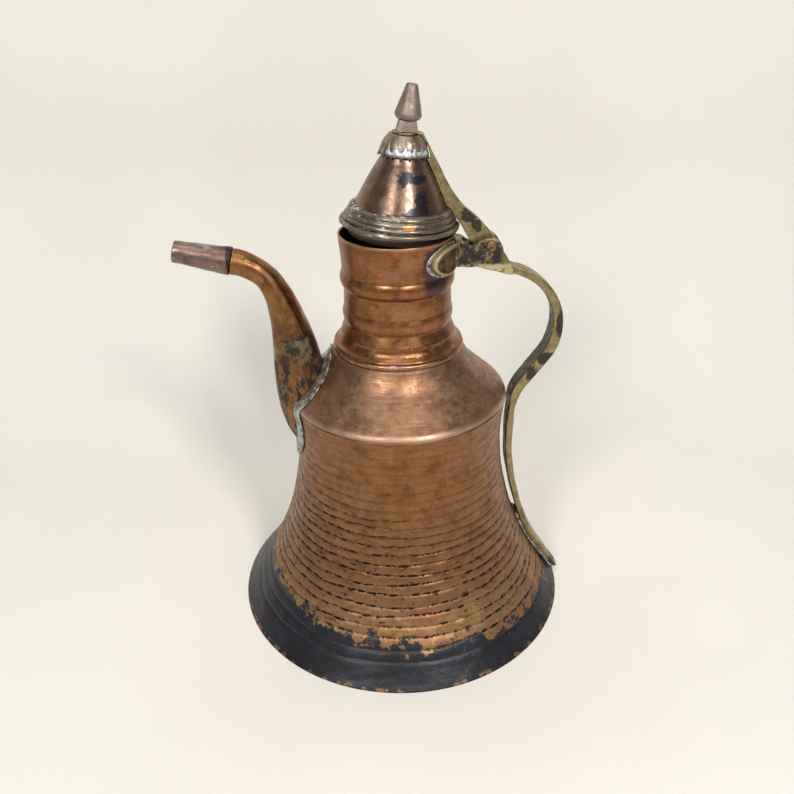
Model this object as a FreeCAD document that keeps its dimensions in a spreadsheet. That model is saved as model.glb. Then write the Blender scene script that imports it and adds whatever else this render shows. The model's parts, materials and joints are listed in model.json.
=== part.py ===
import FreeCAD, Part
import math
import os

import Sketcher
from FreeCAD import Placement, Rotation, Vector

# An antique copper ewer: a bell-shaped body on a wide foot, a beaded neck, a
# tapering bent spout and a brass handle. A conical lid turns on a pin in the
# hinge block at the top of the handle.
#
# Millimetres, +Z up. The origin is the middle of the foot, on the surface that
# the ewer stands on. The handle lies toward +X and the spout toward -X.
# The lid is drawn closed, about its own upright axis, just above the rim. Its
# placement then turns it open about the hinge pin by the "lid_ajar" angle.

DOCUMENT = FreeCAD.newDocument("Ewer")
SHEET = DOCUMENT.addObject("Spreadsheet::Sheet", "Sizes")

# Alias, size in millimetres (or degrees, or a count), and what it is.
SIZES = (
    ("base_radius", 105.0, "foot of the bell, outside"),
    ("knee_radius", 86.6, "bell outside at the knee"),
    ("knee_height", 26.0, "knee above the floor"),
    ("knee_sag", 0.6, "hollow of the bell below the knee"),
    ("flare_radius", 68.8, "bell outside where the flare begins"),
    ("flare_height", 72.0, "start of the flare above the floor"),
    ("flare_sag", 1.8, "hollow of the bell below the flare"),
    ("waist_radius", 62.5, "bell outside at the waist"),
    ("waist_drop", 29.0, "crease down to the waist"),
    ("waist_sag", 1.1, "hollow of the bell below the waist"),
    ("crease_radius", 64.5, "widest part of the shoulder"),
    ("crease_height", 144.0, "crease between bell and shoulder"),
    ("crease_sag", 0.6, "hollow of the bell below the crease"),
    ("bell_wall", 1.5, "bell sheet, measured level"),
    ("base_sheet", 1.2, "thickness of the base plate"),
    ("base_fillet", 4.0, "solder fillet inside the base"),
    ("shoulder_rise", 29.6, "crease to the neck seat"),
    ("shoulder_wall", 1.7, "shoulder sheet, measured level"),
    ("crease_round", 3.4, "rounding of the crease"),
    ("land_radius", 38.6, "flat seat for the neck, outside"),
    ("neck_height", 68.0, "neck seat to the rim"),
    ("neck_wall", 1.0, "neck sheet"),
    ("rim_radius", 32.5, "neck rim, outside"),
    ("throat_radius", 31.2, "neck outside above the upper bead"),
    ("bead_proud", 1.3, "upper bead stands out by"),
    ("groove_radius", 30.6, "neck outside in the grooves"),
    ("neck_foot_radius", 37.4, "flange at the foot of the neck"),
    ("neck_foot_rise", 11.4, "neck foot flare, height"),
    ("ring_radius", 38.2, "bead ring under the neck, outside"),
    ("ring_height", 3.8, "bead ring, height"),
    ("spout_wall", 1.1, "spout sheet"),
    ("spout_tip_length", 31.3, "sleeve on the end of the spout"),
    ("spout_tip_radius", 5.9, "sleeve at the mouth, outside"),
    ("spout_sleeve_step", 0.5, "sleeve stands out over the spout"),
    ("spout_solder_reach", 8.0, "solder round the root of the spout"),
    ("solder_thick", 1.2, "solder on the shoulder"),
    ("pin_reach", 18.9, "rim to the hinge pin"),
    ("pin_drop", 8.1, "rim down to the hinge pin"),
    ("pin_radius", 2.0, "hinge pin"),
    ("pin_head_radius", 3.0, "peened head of the hinge pin"),
    ("pin_head", 1.1, "height of the peened head"),
    ("pin_play", 0.08, "running clearance of the lid strap on the pin"),
    ("cheek_top", 4.5, "cheek above the pin"),
    ("block_width", 15.6, "hinge block across both cheeks"),
    ("slot_play", 0.35, "clearance each side of the strap in the slot"),
    ("eye_radius", 5.0, "eye of the lid strap"),
    ("saddle_thick", 3.2, "saddle lobes on the neck"),
    ("lobe_length", 26.0, "saddle lobe round the neck"),
    ("lobe_height", 16.0, "saddle lobe, height"),
    ("lobe_angle", 36.0, "middle of each lobe from the handle, degrees"),
    ("lobe_lip", 2.0, "raised rim of the lobe"),
    ("lobe_floor", 1.6, "metal left behind the dish in the lobe"),
    ("lobe_drop", 10.9, "rim down to the middle of the lobe"),
    ("handle_width_top", 10.0, "handle strap at the hinge"),
    ("handle_width", 12.0, "handle strap at the grip"),
    ("handle_width_foot", 10.0, "handle strap at the foot"),
    ("handle_start", 13.1, "hinge pin to the start of the handle strap"),
    ("handle_drop", 12.7, "hinge pin down to the top of the strap"),
    ("strap_thick_top", 4.4, "handle strap, thickness at the hinge"),
    ("grip_out", 44.7, "hinge pin to the outside of the grip"),
    ("grip_drop", 52.5, "hinge pin down to the widest point of the grip"),
    ("grip_thick", 6.0, "handle strap, thickness at the grip"),
    ("strap_thick", 4.2, "handle strap beside the bell, measured level"),
    ("waist_gap", 3.7, "handle to the waist"),
    ("flare_gap", 2.4, "handle to the flare"),
    ("knee_gap", 1.2, "handle foot to the knee, filled with solder"),
    ("foot_end", 2.4, "end of the handle foot above the floor"),
    ("foot_thick", 4.6, "handle foot, measured level"),
    ("lid_gap", 0.3, "closed lid above the rim"),
    ("lid_offset", 0.6, "lid axis toward the hinge"),
    ("lid_ajar", 4.5, "lid open at rest, degrees"),
    ("lid_wall", 1.0, "lid sheet"),
    ("cone_inset", 3.3, "rim in to the foot of the lid cone, outside"),
    ("cone_bulge", 0.8, "fullness of the cone"),
    ("cone_waist_radius", 13.3, "lid cone under the petals"),
    ("cone_waist_height", 33.7, "the same, above the seat"),
    ("cone_top_radius", 7.3, "flat top of the cone"),
    ("moulding_lap", 0.5, "largest ridge of the moulding beyond the rim"),
    ("moulding_height", 10.9, "moulding, height"),
    ("bezel_depth", 5.0, "bezel inside the rim"),
    ("bezel_taper", 1.3, "bezel narrows by"),
    ("bezel_inset", 0.3, "bezel inside the cone's foot"),
    ("cap_height", 47.3, "top of the petalled cap above the seat"),
    ("cap_top_radius", 8.5, "flat top of the cap"),
    ("cap_tip_radius", 14.6, "petal tips"),
    ("cap_tip_height", 35.6, "petal tips above the seat"),
    ("cap_bulge", 0.8, "fullness of the cap"),
    ("cap_sheet", 0.9, "cap sheet"),
    ("petal_count", 16, "petals round the cap"),
    ("petal_length", 8.6, "length of a petal"),
    ("petal_gap", 4.4, "width of the gap between petal tips"),
    ("strap_width", 6.0, "lid strap across"),
    ("strap_eye_radius", 7.0, "washer end of the strap under the finial"),
    ("strap_sheet", 1.2, "thickness of that end"),
    ("collar_height", 5.9, "square collar under the knob"),
    ("collar_foot", 11.2, "side of the collar at its foot"),
    ("collar_head", 8.8, "side of the collar at its top"),
    ("knob_height", 17.5, "knob"),
    ("knob_radius", 7.1, "knob at its widest"),
    ("knob_foot_radius", 4.6, "knob at its foot"),
    ("knob_foot_sunk", 0.6, "spare height trimmed off the leaning foot"),
    ("knob_top_radius", 3.2, "knob at its top"),
    ("knob_lean", 4.0, "knob leans toward the hinge, degrees"),
    ("finial_shift", 0.8, "collar and knob stand off the lid's axis"),
    ("rivet_radius", 1.8, "finial rivet"),
    ("rivet_grip", 6.0, "rivet inside the knob"),
    ("rivet_head_radius", 3.2, "peened head inside the lid"),
    ("rivet_head", 1.1, "height of that head"),
    ("washer_radius", 5.0, "washer inside the lid"),
    ("washer_sheet", 1.0, "thickness of the washer"),
)

# The spout's sections, from the sleeve joint down to the keel inside the body:
# name, out from the crease, up from the crease, lean from upright in degrees,
# half thickness in the spout's plane, half width across it.
SPOUT_SECTIONS = (
    ("joint", 27.2, 83.2, 77.7, 7.3, 7.4),
    ("bend", 16.0, 79.2, 62.0, 7.0, 7.2),
    ("elbow", 6.8, 70.4, 36.0, 7.2, 7.6),
    ("stem", 0.7, 56.0, 16.0, 8.8, 9.6),
    ("throat", -3.5, 36.0, 8.0, 12.1, 13.5),
    ("root", -6.0, 14.0, 3.0, 14.8, 17.5),
    ("belly", -9.0, -8.0, 0.5, 16.2, 19.0),
    ("keel", -12.0, -23.0, 0.4, 14.7, 17.0),
    ("heel", -15.5, -36.0, 0.3, 9.6, 10.0),
)
SPOUT_MEASURES = ("out", "rise", "lean", "half", "side")


class Size:
    """A number together with the spreadsheet formula that gives it."""

    def __init__(self, number, formula):
        self.number = number
        self.formula = formula

    def __add__(self, other):
        return Size(self.number + number_of(other), f"({self.formula} + {formula_of(other)})")

    def __radd__(self, other):
        return self + other

    def __sub__(self, other):
        return Size(self.number - number_of(other), f"({self.formula} - {formula_of(other)})")

    def __rsub__(self, other):
        return Size(number_of(other) - self.number, f"({formula_of(other)} - {self.formula})")

    def __mul__(self, other):
        return Size(self.number * number_of(other), f"({self.formula} * {formula_of(other)})")

    def __rmul__(self, other):
        return self * other

    def __truediv__(self, other):
        return Size(self.number / number_of(other), f"({self.formula} / {formula_of(other)})")

    def __neg__(self):
        return Size(-self.number, f"(-1 * {self.formula})")


def number_of(size):
    return size.number if isinstance(size, Size) else float(size)


def formula_of(size):
    return size.formula if isinstance(size, Size) else repr(float(size))


class Dimensions:
    """The sizes by name: each one is an attribute."""


def fill_sheet():
    """Write every size to the sheet and return them by name."""
    rows = list(SIZES)
    for name, *measures in SPOUT_SECTIONS:
        for measure, value in zip(SPOUT_MEASURES, measures):
            rows.append((f"spout_{name}_{measure}", value, "section of the spout"))
    dimensions = Dimensions()
    for number, (alias, value, note) in enumerate(rows, start=1):
        SHEET.set(f"A{number}", note)
        SHEET.set(f"B{number}", str(value))
        SHEET.setAlias(f"B{number}", alias)
        setattr(dimensions, alias, Size(float(value), f"Sizes.{alias}"))
    DOCUMENT.recompute()
    return dimensions


d = fill_sheet()

# Heights and places that several pieces share.
WAIST_HEIGHT = d.crease_height - d.waist_drop
NECK_SEAT = d.crease_height + d.shoulder_rise
RIM = NECK_SEAT + d.neck_height
PIN_X = d.rim_radius + d.pin_reach
PIN_Z = RIM - d.pin_drop
LID_SEAT = RIM + d.lid_gap
LID_PIN_X = PIN_X - d.lid_offset
CONE_FOOT_RADIUS = d.rim_radius - d.cone_inset
MOULDING_RADIUS = d.rim_radius + d.moulding_lap
CAP_TOP = LID_SEAT + d.cap_height
COLLAR_FOOT = CAP_TOP + d.strap_sheet
KNOB_FOOT = COLLAR_FOOT + d.collar_height
CONE_TOP = CAP_TOP - d.cap_sheet
NECK_FOOT = NECK_SEAT + d.ring_height
PART_NODES = []


# ---------------------------------------------------------------- drawing

def new_body(label):
    body = DOCUMENT.addObject("PartDesign::Body", label)
    body.Label = label
    return body


def new_sketch(body, role="XZ_Plane"):
    """An empty sketch on one of the body's own origin planes."""
    sketch = body.newObject("Sketcher::SketchObject", body.Name + "_sketch")
    plane = [item for item in body.Origin.OriginFeatures if item.Role == role][0]
    sketch.AttachmentSupport = (plane, [""])
    sketch.MapMode = "FlatFace"
    return sketch


def fix_point(sketch, geometry, end, x, y):
    """Tie one end of a line or arc to a place given by two sizes."""
    for kind, value, axis in (("DistanceX", x, -2), ("DistanceY", y, -1)):
        if number_of(value) == 0.0:
            sketch.addConstraint(Sketcher.Constraint("PointOnObject", geometry, end, axis))
            continue
        rule = Sketcher.Constraint(kind, -1, 1, geometry, end, number_of(value))
        index = sketch.addConstraint(rule)
        if isinstance(value, Size):
            sketch.setExpression(f"Constraints[{index}]", value.formula)


def flat(x, y):
    return Vector(number_of(x), number_of(y), 0)


def arc_through(start, via, end):
    """An arc drawn counter-clockwise, as a sketch wants it."""
    whole = Part.Circle(start, via, end)
    middle = whole.Center
    turn = (via - start).cross(end - via).z
    first, last = (start, end) if turn > 0 else (end, start)
    first_angle = math.atan2(first.y - middle.y, first.x - middle.x)
    last_angle = math.atan2(last.y - middle.y, last.x - middle.x)
    if last_angle < first_angle:
        last_angle += 2 * math.pi
    circle = Part.Circle(middle, Vector(0, 0, 1), whole.Radius)
    return Part.ArcOfCircle(circle, first_angle, last_angle)


def draw_outline(sketch, points):
    """Draw a closed outline. A point is (x, y), reached by a line from the one
    before, or (x, y, via_x, via_y), reached by an arc through the second place."""
    edges = []
    for index, point in enumerate(points):
        start = flat(*points[index - 1][:2])
        end = flat(*point[:2])
        if len(point) == 2:
            edge = Part.LineSegment(start, end)
        else:
            edge = arc_through(start, flat(*point[2:]), end)
        edges.append(sketch.addGeometry(edge, False))
    ends = []
    for edge, point in zip(edges, points):
        finish = sketch.Geometry[edge].EndPoint
        forward = finish.distanceToPoint(flat(*point[:2])) < 1e-6
        ends.append((1, 2) if forward else (2, 1))
    for index, edge in enumerate(edges):
        before = (edges[index - 1], ends[index - 1][1])
        sketch.addConstraint(Sketcher.Constraint("Coincident", *before, edge, ends[index][0]))
    for edge, end, point in zip(edges, ends, points):
        fix_point(sketch, edge, end[1], *point[:2])
        if len(point) == 4:
            via = sketch.addGeometry(Part.Point(flat(*point[2:])), True)
            fix_point(sketch, via, 1, *point[2:])
            sketch.addConstraint(Sketcher.Constraint("PointOnObject", via, 1, edge))


def draw_circle(sketch, x, y, radius):
    circle = Part.Circle(flat(x, y), Vector(0, 0, 1), number_of(radius))
    edge = sketch.addGeometry(circle, False)
    fix_point(sketch, edge, 3, x, y)
    index = sketch.addConstraint(Sketcher.Constraint("Radius", edge, number_of(radius)))
    sketch.setExpression(f"Constraints[{index}]", radius.formula)


def draw_ellipse(sketch, x, y, long_half, short_half, upright):
    """An ellipse whose long axis is upright or level in the sketch."""
    long_way = Vector(0, number_of(long_half), 0) if upright else Vector(number_of(long_half), 0, 0)
    short_way = Vector(number_of(short_half), 0, 0) if upright else Vector(0, number_of(short_half), 0)
    middle = flat(x, y)
    ellipse = Part.Ellipse(middle + long_way, middle + short_way, middle)
    edge = sketch.addGeometry(ellipse, False)
    sketch.exposeInternalGeometry(edge)
    fix_point(sketch, edge, 3, x, y)
    sketch.addConstraint(Sketcher.Constraint("Vertical" if upright else "Horizontal", edge + 1))
    for axis, half in ((edge + 1, long_half), (edge + 2, short_half)):
        whole = half * 2
        index = sketch.addConstraint(Sketcher.Constraint("Distance", axis, whole.number))
        sketch.setExpression(f"Constraints[{index}]", whole.formula)


def turned(label, points):
    """A body of revolution about its own Z axis."""
    body = new_body(label)
    sketch = new_sketch(body)
    draw_outline(sketch, points)
    turn = body.newObject("PartDesign::Revolution", label + "_turn")
    turn.Profile = sketch
    turn.ReferenceAxis = (sketch, ["V_Axis"])
    turn.Angle = 360.0
    body.Tip = turn
    return body


def padded(label, points, width, role="XZ_Plane"):
    """A plate with this side outline, centred on the plane it is drawn on."""
    body = new_body(label)
    sketch = new_sketch(body, role)
    draw_outline(sketch, points)
    return pad_sketch(body, sketch, width, "Symmetric")


def pad_sketch(body, sketch, width, side):
    pad = body.newObject("PartDesign::Pad", body.Name + "_pad")
    pad.Profile = sketch
    pad.SideType = side
    pad.Length = number_of(width)
    pad.setExpression("Length", formula_of(width))
    body.Tip = pad
    return body


def place(item, x, z, lean=0.0):
    """Move a piece to (x, 0, z) and lean it about Y; all bound to the sheet."""
    formula = "placement(vector({0};0;{1}); rotation(vector(0;1;0); {2}); vector(0;0;0))"
    spot = Vector(number_of(x), 0, number_of(z))
    item.Placement = Placement(spot, Rotation(Vector(0, 1, 0), number_of(lean)))
    item.setExpression("Placement", formula.format(formula_of(x), formula_of(z), formula_of(lean)))


def cut_away(label, base, tool):
    result = DOCUMENT.addObject("Part::Cut", label)
    result.Label = label
    result.Base = base
    result.Tool = tool
    return result


def join(label, *shapes):
    result = DOCUMENT.addObject("Part::MultiFuse", label)
    result.Label = label
    result.Shapes = list(shapes)
    return result


def shared(label, *shapes):
    result = DOCUMENT.addObject("Part::MultiCommon", label)
    result.Label = label
    result.Shapes = list(shapes)
    return result


def keep(item):
    """Mark an object as one of the ewer's sub-parts."""
    PART_NODES.append(item)
    return item


def keep_lid(item):
    """Mark a sub-part of the lid and turn it open about the hinge pin."""
    offset = Vector(d.lid_offset.number, 0, 0)
    centre = Vector(LID_PIN_X.number, 0, PIN_Z.number)
    item.Placement = Placement(offset, Rotation(Vector(0, 1, 0), d.lid_ajar.number), centre)
    item.setExpression("Placement", (
        f"placement(vector({d.lid_offset.formula};0;0); "
        f"rotation(vector(0;1;0); {d.lid_ajar.formula}); "
        f"vector({LID_PIN_X.formula};0;{PIN_Z.formula}))"))
    return keep(item)


# ------------------------------------------------------------ bell and foot

def bowed(first, second, sag):
    """The place an arc passes through: the middle of the chord, drawn in by sag."""
    return (first[0] + second[0]) / 2 - sag, (first[1] + second[1]) / 2


def bell_line(shift=0.0):
    """The bell's side from the foot up to the crease, moved out by shift."""
    stations = (
        (d.base_radius + shift, 0.0),
        (d.knee_radius + shift, d.knee_height),
        (d.flare_radius + shift, d.flare_height),
        (d.waist_radius + shift, WAIST_HEIGHT),
        (d.crease_radius + shift, d.crease_height),
    )
    sags = (d.knee_sag, d.flare_sag, d.waist_sag, d.crease_sag)
    line = [stations[0]]
    for below, above, sag in zip(stations, stations[1:], sags):
        line.append((*above, *bowed(below, above, sag)))
    return line


def backward(line):
    """The same line drawn the other way: each arc keeps the place it passes."""
    corners = [point[:2] for point in line]
    vias = [point[2:] for point in line]
    result = [corners[-1]]
    for corner, via in zip(reversed(corners[:-1]), reversed(vias[1:])):
        result.append((*corner, *via))
    return result


def shoulder_line(shift=0.0):
    """The shoulder's side from the crease up to the neck seat, moved out by shift."""
    round_end = (d.crease_radius - d.crease_round + shift, d.crease_height + d.crease_round * 1.3)
    round_via = (d.crease_radius - d.crease_round * 0.3 + shift, d.crease_height + d.crease_round * 0.7)
    slope_end = (d.land_radius + d.shoulder_rise / 4 + shift, NECK_SEAT - d.shoulder_rise * 0.39)
    seat = (d.land_radius + shift, NECK_SEAT)
    return [(*round_end, *round_via), slope_end, (*seat, *bowed(slope_end, seat, 0.8))]


def solid_of_revolution(label, line):
    """A solid inside a side line that starts on the floor."""
    return turned(label, [(0.0, 0.0), *line, (0.0, line[-1][1])])


def make_body_core(label, shift):
    """The whole outside of bell and shoulder as a solid, thickened by shift."""
    return solid_of_revolution(label, bell_line(shift) + shoulder_line(shift))


def make_bell(spout_bore):
    outside = bell_line()
    inside = backward(bell_line(-d.bell_wall))
    foot = inside.pop()
    shell = turned("bell_shell", [foot, *outside, inside[0], *inside[1:]])
    return keep(cut_away("body_bell", shell, spout_bore))


def make_base():
    """The base plate fits inside the bell's foot, with a fillet of solder above."""
    inner = d.base_radius - d.bell_wall
    inside = solid_of_revolution("bell_inside", bell_line(-d.bell_wall))
    disc = turned("base_disc", [(0.0, 0.0), (inner, 0.0), (inner, d.base_sheet), (0.0, d.base_sheet)])
    keep(shared("base_plate", disc, inside))
    fillet_top = d.base_sheet + d.base_fillet
    fillet_in = inner - d.base_fillet * 2
    ring = turned("base_fillet_ring", [
        (fillet_in, d.base_sheet), (inner, d.base_sheet), (inner - d.base_fillet, fillet_top)])
    keep(shared("base_solder", ring, inside))


def make_shoulder(spout_bore):
    collar = d.ring_radius - 2.8
    lining = collar - 1.2
    under_seat = NECK_SEAT - d.shoulder_wall * 0.8
    outside = [(d.crease_radius, d.crease_height), *shoulder_line()]
    inner_line = [(d.crease_radius - d.shoulder_wall, d.crease_height), *shoulder_line(-d.shoulder_wall)]
    slope_end = inner_line[-2]
    under = (d.land_radius - d.shoulder_wall, under_seat)
    inner_line[-1] = (*under, *bowed(slope_end, under, 0.6))
    inside = backward(inner_line)
    foot = inside.pop()
    seat = [(collar, NECK_SEAT), (collar, NECK_FOOT), (lining, NECK_FOOT), (lining, under_seat)]
    shell = turned("shoulder_shell", [foot, *outside, *seat, *inside])
    return keep(cut_away("shoulder", shell, spout_bore))


# ------------------------------------------------------------------- neck

def neck_line(shift=0.0):
    """The neck's side from the top of its foot flange up to the rim."""
    foot_top = NECK_FOOT + d.neck_wall
    flare_top = NECK_FOOT + d.neck_foot_rise * 0.67
    lower_groove = NECK_FOOT + d.neck_foot_rise * 1.2
    lower_bead = lower_groove + 9.3
    upper_groove = lower_groove + 20.6
    upper_bead = upper_groove + 9.5
    groove = d.groove_radius + shift
    throat = d.throat_radius + shift
    flare = groove + 2.4
    flange = d.neck_foot_radius + shift
    return [
        (flange, foot_top),
        (flare, flare_top, flare + 1.2, foot_top + 2.3),
        (groove, lower_groove),
        (groove + 0.3, lower_bead, groove + 1.1, lower_groove + 5.0),
        (groove, upper_groove),
        (throat, upper_bead, throat + d.bead_proud, upper_groove + 4.6),
        (d.rim_radius + shift, RIM),
    ]


def make_neck():
    outside = neck_line()
    inner_line = neck_line(-d.neck_wall)
    bottom = (d.ring_radius - 4.0, NECK_FOOT)
    inner_flare = inner_line[1]
    inner_line = [bottom, (*inner_flare[:2], inner_flare[0] + 0.7, NECK_FOOT + 3.1), *inner_line[2:]]
    inside = backward(inner_line)
    points = [bottom, (d.neck_foot_radius, NECK_FOOT), *outside, *inside[:-1]]
    points[0] = (*bottom, *inside[-1][2:])
    keep(turned("neck", points))


def make_neck_ring():
    bore = d.ring_radius - 2.8
    flat_part = d.ring_radius - 1.5
    keep(turned("neck_ring", [
        (bore, NECK_SEAT), (flat_part, NECK_SEAT),
        (flat_part, NECK_FOOT, d.ring_radius, NECK_SEAT + d.ring_height / 2),
        (bore, NECK_FOOT)]))


# ------------------------------------------------------------------ spout

def spout_loft(label, names, thinner, wider=0.0, beyond=0.0):
    """A lofted tube through the named sections. The sections are thinner by one
    size and wider by another; beyond carries the first one further out."""
    body = new_body(label)
    sections = []
    for name in names:
        lean = getattr(d, f"spout_{name}_lean")
        out = getattr(d, f"spout_{name}_out") + d.crease_radius
        rise = getattr(d, f"spout_{name}_rise") + d.crease_height
        if name == names[0] and beyond:
            out = out + beyond
        half = getattr(d, f"spout_{name}_half") - thinner + wider
        side = getattr(d, f"spout_{name}_side") - thinner + wider
        sketch = new_sketch(body, "XY_Plane")
        sketch.AttachmentOffset = Placement(
            Vector(-out.number, 0, rise.number), Rotation(Vector(0, 1, 0), -lean.number))
        sketch.setExpression("AttachmentOffset.Base.x", (-out).formula)
        sketch.setExpression("AttachmentOffset.Base.z", rise.formula)
        sketch.setExpression("AttachmentOffset.Rotation.Angle", (-lean).formula)
        draw_ellipse(sketch, 0.0, 0.0, side, half, upright=True)
        sections.append(sketch)
    loft = body.newObject("PartDesign::AdditiveLoft", label + "_loft")
    loft.Profile = sections[0]
    loft.Sections = sections[1:]
    body.Tip = loft
    return body


def make_spout(core, bore):
    names = [name for name, *_ in SPOUT_SECTIONS]
    horn = spout_loft("spout_horn", names, 0.0)
    outside_body = cut_away("spout_outside", horn, core)
    return keep(cut_away("spout", outside_body, bore))


def make_spout_tip():
    """The tapered sleeve is turned upright and then leaned out along the spout."""
    joint = d.spout_joint_side + d.spout_sleeve_step
    bore_at_joint = d.spout_joint_half - d.spout_wall
    bore_at_mouth = d.spout_tip_radius - d.spout_wall
    sleeve = turned("spout_tip", [
        (bore_at_joint, 0.0), (joint, 0.0),
        (d.spout_tip_radius, d.spout_tip_length), (bore_at_mouth, d.spout_tip_length)])
    out = d.spout_joint_out + d.crease_radius
    place(sleeve, -out, d.spout_joint_rise + d.crease_height, -d.spout_joint_lean)
    keep(sleeve)


def make_spout_solder(core, horn):
    """A skin of solder on the shoulder, all round the root of the spout."""
    root_sections = ["throat", "root", "belly", "keel", "heel"]
    reach = spout_loft("solder_reach", root_sections, 0.0, wider=d.spout_solder_reach)
    skin = cut_away("solder_skin", make_body_core("solder_skin_outside", d.solder_thick), core)
    patch = shared("solder_patch", reach, skin)
    keep(cut_away("spout_solder", patch, horn))


# ----------------------------------------------------------- hinge and handle

def neck_side(shift):
    """The neck's plain upper side as a solid cone, moved out by shift."""
    throat, rim = neck_line(shift)[-2:]
    return [(0.0, throat[1]), throat[:2], rim, (0.0, RIM)]


def lobe_plate(label, side, long_half, short_half):
    """An oval bar standing out from the axis through one saddle lobe."""
    body = new_body(label)
    sketch = new_sketch(body, "YZ_Plane")
    draw_ellipse(sketch, 0.0, RIM - d.lobe_drop, long_half, short_half, upright=False)
    pad_sketch(body, sketch, d.rim_radius * 2, "One side")
    turn = Rotation(Vector(0, 0, 1), side * d.lobe_angle.number)
    body.Placement = Placement(Vector(0, 0, 0), turn)
    body.setExpression("Placement", (
        f"placement(vector(0;0;0); rotation(vector(0;0;1); "
        f"{side} * {d.lobe_angle.formula}); vector(0;0;0))"))
    return body


def block_side():
    """Side outline of the hinge block: bar, cheeks and the step to the handle."""
    start_x = PIN_X + d.handle_start
    strap_top = PIN_Z - d.handle_drop
    bottom = strap_top - d.strap_thick_top
    return [
        (PIN_X - 25.0, PIN_Z - 11.2),
        (PIN_X - 8.0, PIN_Z - 11.4),
        (start_x, bottom),
        (start_x, strap_top),
        (PIN_X + 7.0, PIN_Z - 3.3),
        (PIN_X, PIN_Z + d.cheek_top, PIN_X + 4.6, PIN_Z + 2.5),
        (PIN_X - 7.7, PIN_Z + 1.6, PIN_X - 4.4, PIN_Z + 3.9),
        (PIN_X - 9.9, PIN_Z - 0.1),
        (PIN_X - 15.4, PIN_Z + 3.0),
        (PIN_X - 25.0, PIN_Z + 4.6),
    ]


def slot_side():
    """Side outline of the slot that the lid strap swings in."""
    floor = PIN_Z - d.eye_radius - 0.4
    ledge = PIN_Z + 0.3
    return [
        (PIN_X - 6.2, floor),
        (PIN_X + 20.0, floor),
        (PIN_X + 20.0, PIN_Z + 12.0),
        (PIN_X - 15.1, PIN_Z + 12.0),
        (PIN_X - 15.1, ledge),
        (PIN_X - 11.4, ledge),
    ]


def make_hinge_block():
    neck_solid = turned("saddle_bore", neck_side(0.0))
    blank = cut_away("saddle_shell", turned("saddle_outside", neck_side(d.saddle_thick)), neck_solid)
    dish_floor = turned("dish_floor", neck_side(d.lobe_floor))
    pieces = []
    dishes = []
    for side, name in ((-1, "near"), (1, "far")):
        long_half = d.lobe_length / 2
        short_half = d.lobe_height / 2
        pieces.append(lobe_plate(f"lobe_{name}", side, long_half, short_half))
        hollow = lobe_plate(f"dish_{name}", side, long_half - d.lobe_lip, short_half - d.lobe_lip)
        dishes.append(cut_away(f"dish_cutter_{name}", hollow, dish_floor))
    bridge = padded("saddle_bridge", [
        (0.0, RIM - d.lobe_drop - 6.0), (d.rim_radius * 2, RIM - d.lobe_drop - 6.0),
        (d.rim_radius * 2, RIM - d.lobe_drop + 6.0), (0.0, RIM - d.lobe_drop + 6.0)],
        d.block_width * 1.5)
    saddle = shared("saddle", blank, join("saddle_plan", *pieces, bridge))
    bar = padded("hinge_bar", block_side(), d.block_width)
    slot = padded("hinge_slot", slot_side(), d.strap_width + d.slot_play * 2)
    hole = new_body("pin_hole")
    hole_sketch = new_sketch(hole)
    draw_circle(hole_sketch, PIN_X, PIN_Z, d.pin_radius)
    pad_sketch(hole, hole_sketch, d.block_width * 2, "Symmetric")
    casting = join("hinge_casting", saddle, cut_away("hinge_bar_trimmed", bar, neck_solid))
    cutters = join("hinge_cutters", slot, hole, *dishes)
    block = keep(cut_away("hinge_block", casting, cutters))
    make_saddle_solder(neck_solid, block)


def make_saddle_solder(neck_solid, block):
    """A thin run of solder round each lobe of the saddle."""
    outside = turned("saddle_solder_outside", neck_side(d.solder_thick / 2))
    skin = cut_away("saddle_solder_skin", outside, neck_solid)
    long_half = d.lobe_length / 2 + 2.2
    short_half = d.lobe_height / 2 + 1.4
    ovals = []
    for side, name in ((-1, "near"), (1, "far")):
        ovals.append(lobe_plate(f"solder_oval_{name}", side, long_half, short_half))
    patch = shared("saddle_solder_patch", skin, join("saddle_solder_plan", *ovals))
    keep(cut_away("saddle_solder", patch, block))


def make_hinge_pin():
    half = d.block_width / 2
    tall = half + d.pin_head
    pin = turned("hinge_pin", [
        (0.0, -tall), (d.pin_head_radius - 0.6, -tall),
        (d.pin_head_radius, -half, d.pin_head_radius - 0.1, -tall + 0.5),
        (d.pin_radius, -half), (d.pin_radius, half), (d.pin_head_radius, half),
        (d.pin_head_radius - 0.6, tall, d.pin_head_radius - 0.1, tall - 0.5), (0.0, tall)])
    pin.Placement = Placement(Vector(PIN_X.number, 0, PIN_Z.number), Rotation(Vector(1, 0, 0), 90))
    pin.setExpression("Placement", (
        f"placement(vector({PIN_X.formula};0;{PIN_Z.formula}); "
        f"rotation(vector(1;0;0); 90); vector(0;0;0))"))
    keep(pin)


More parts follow.
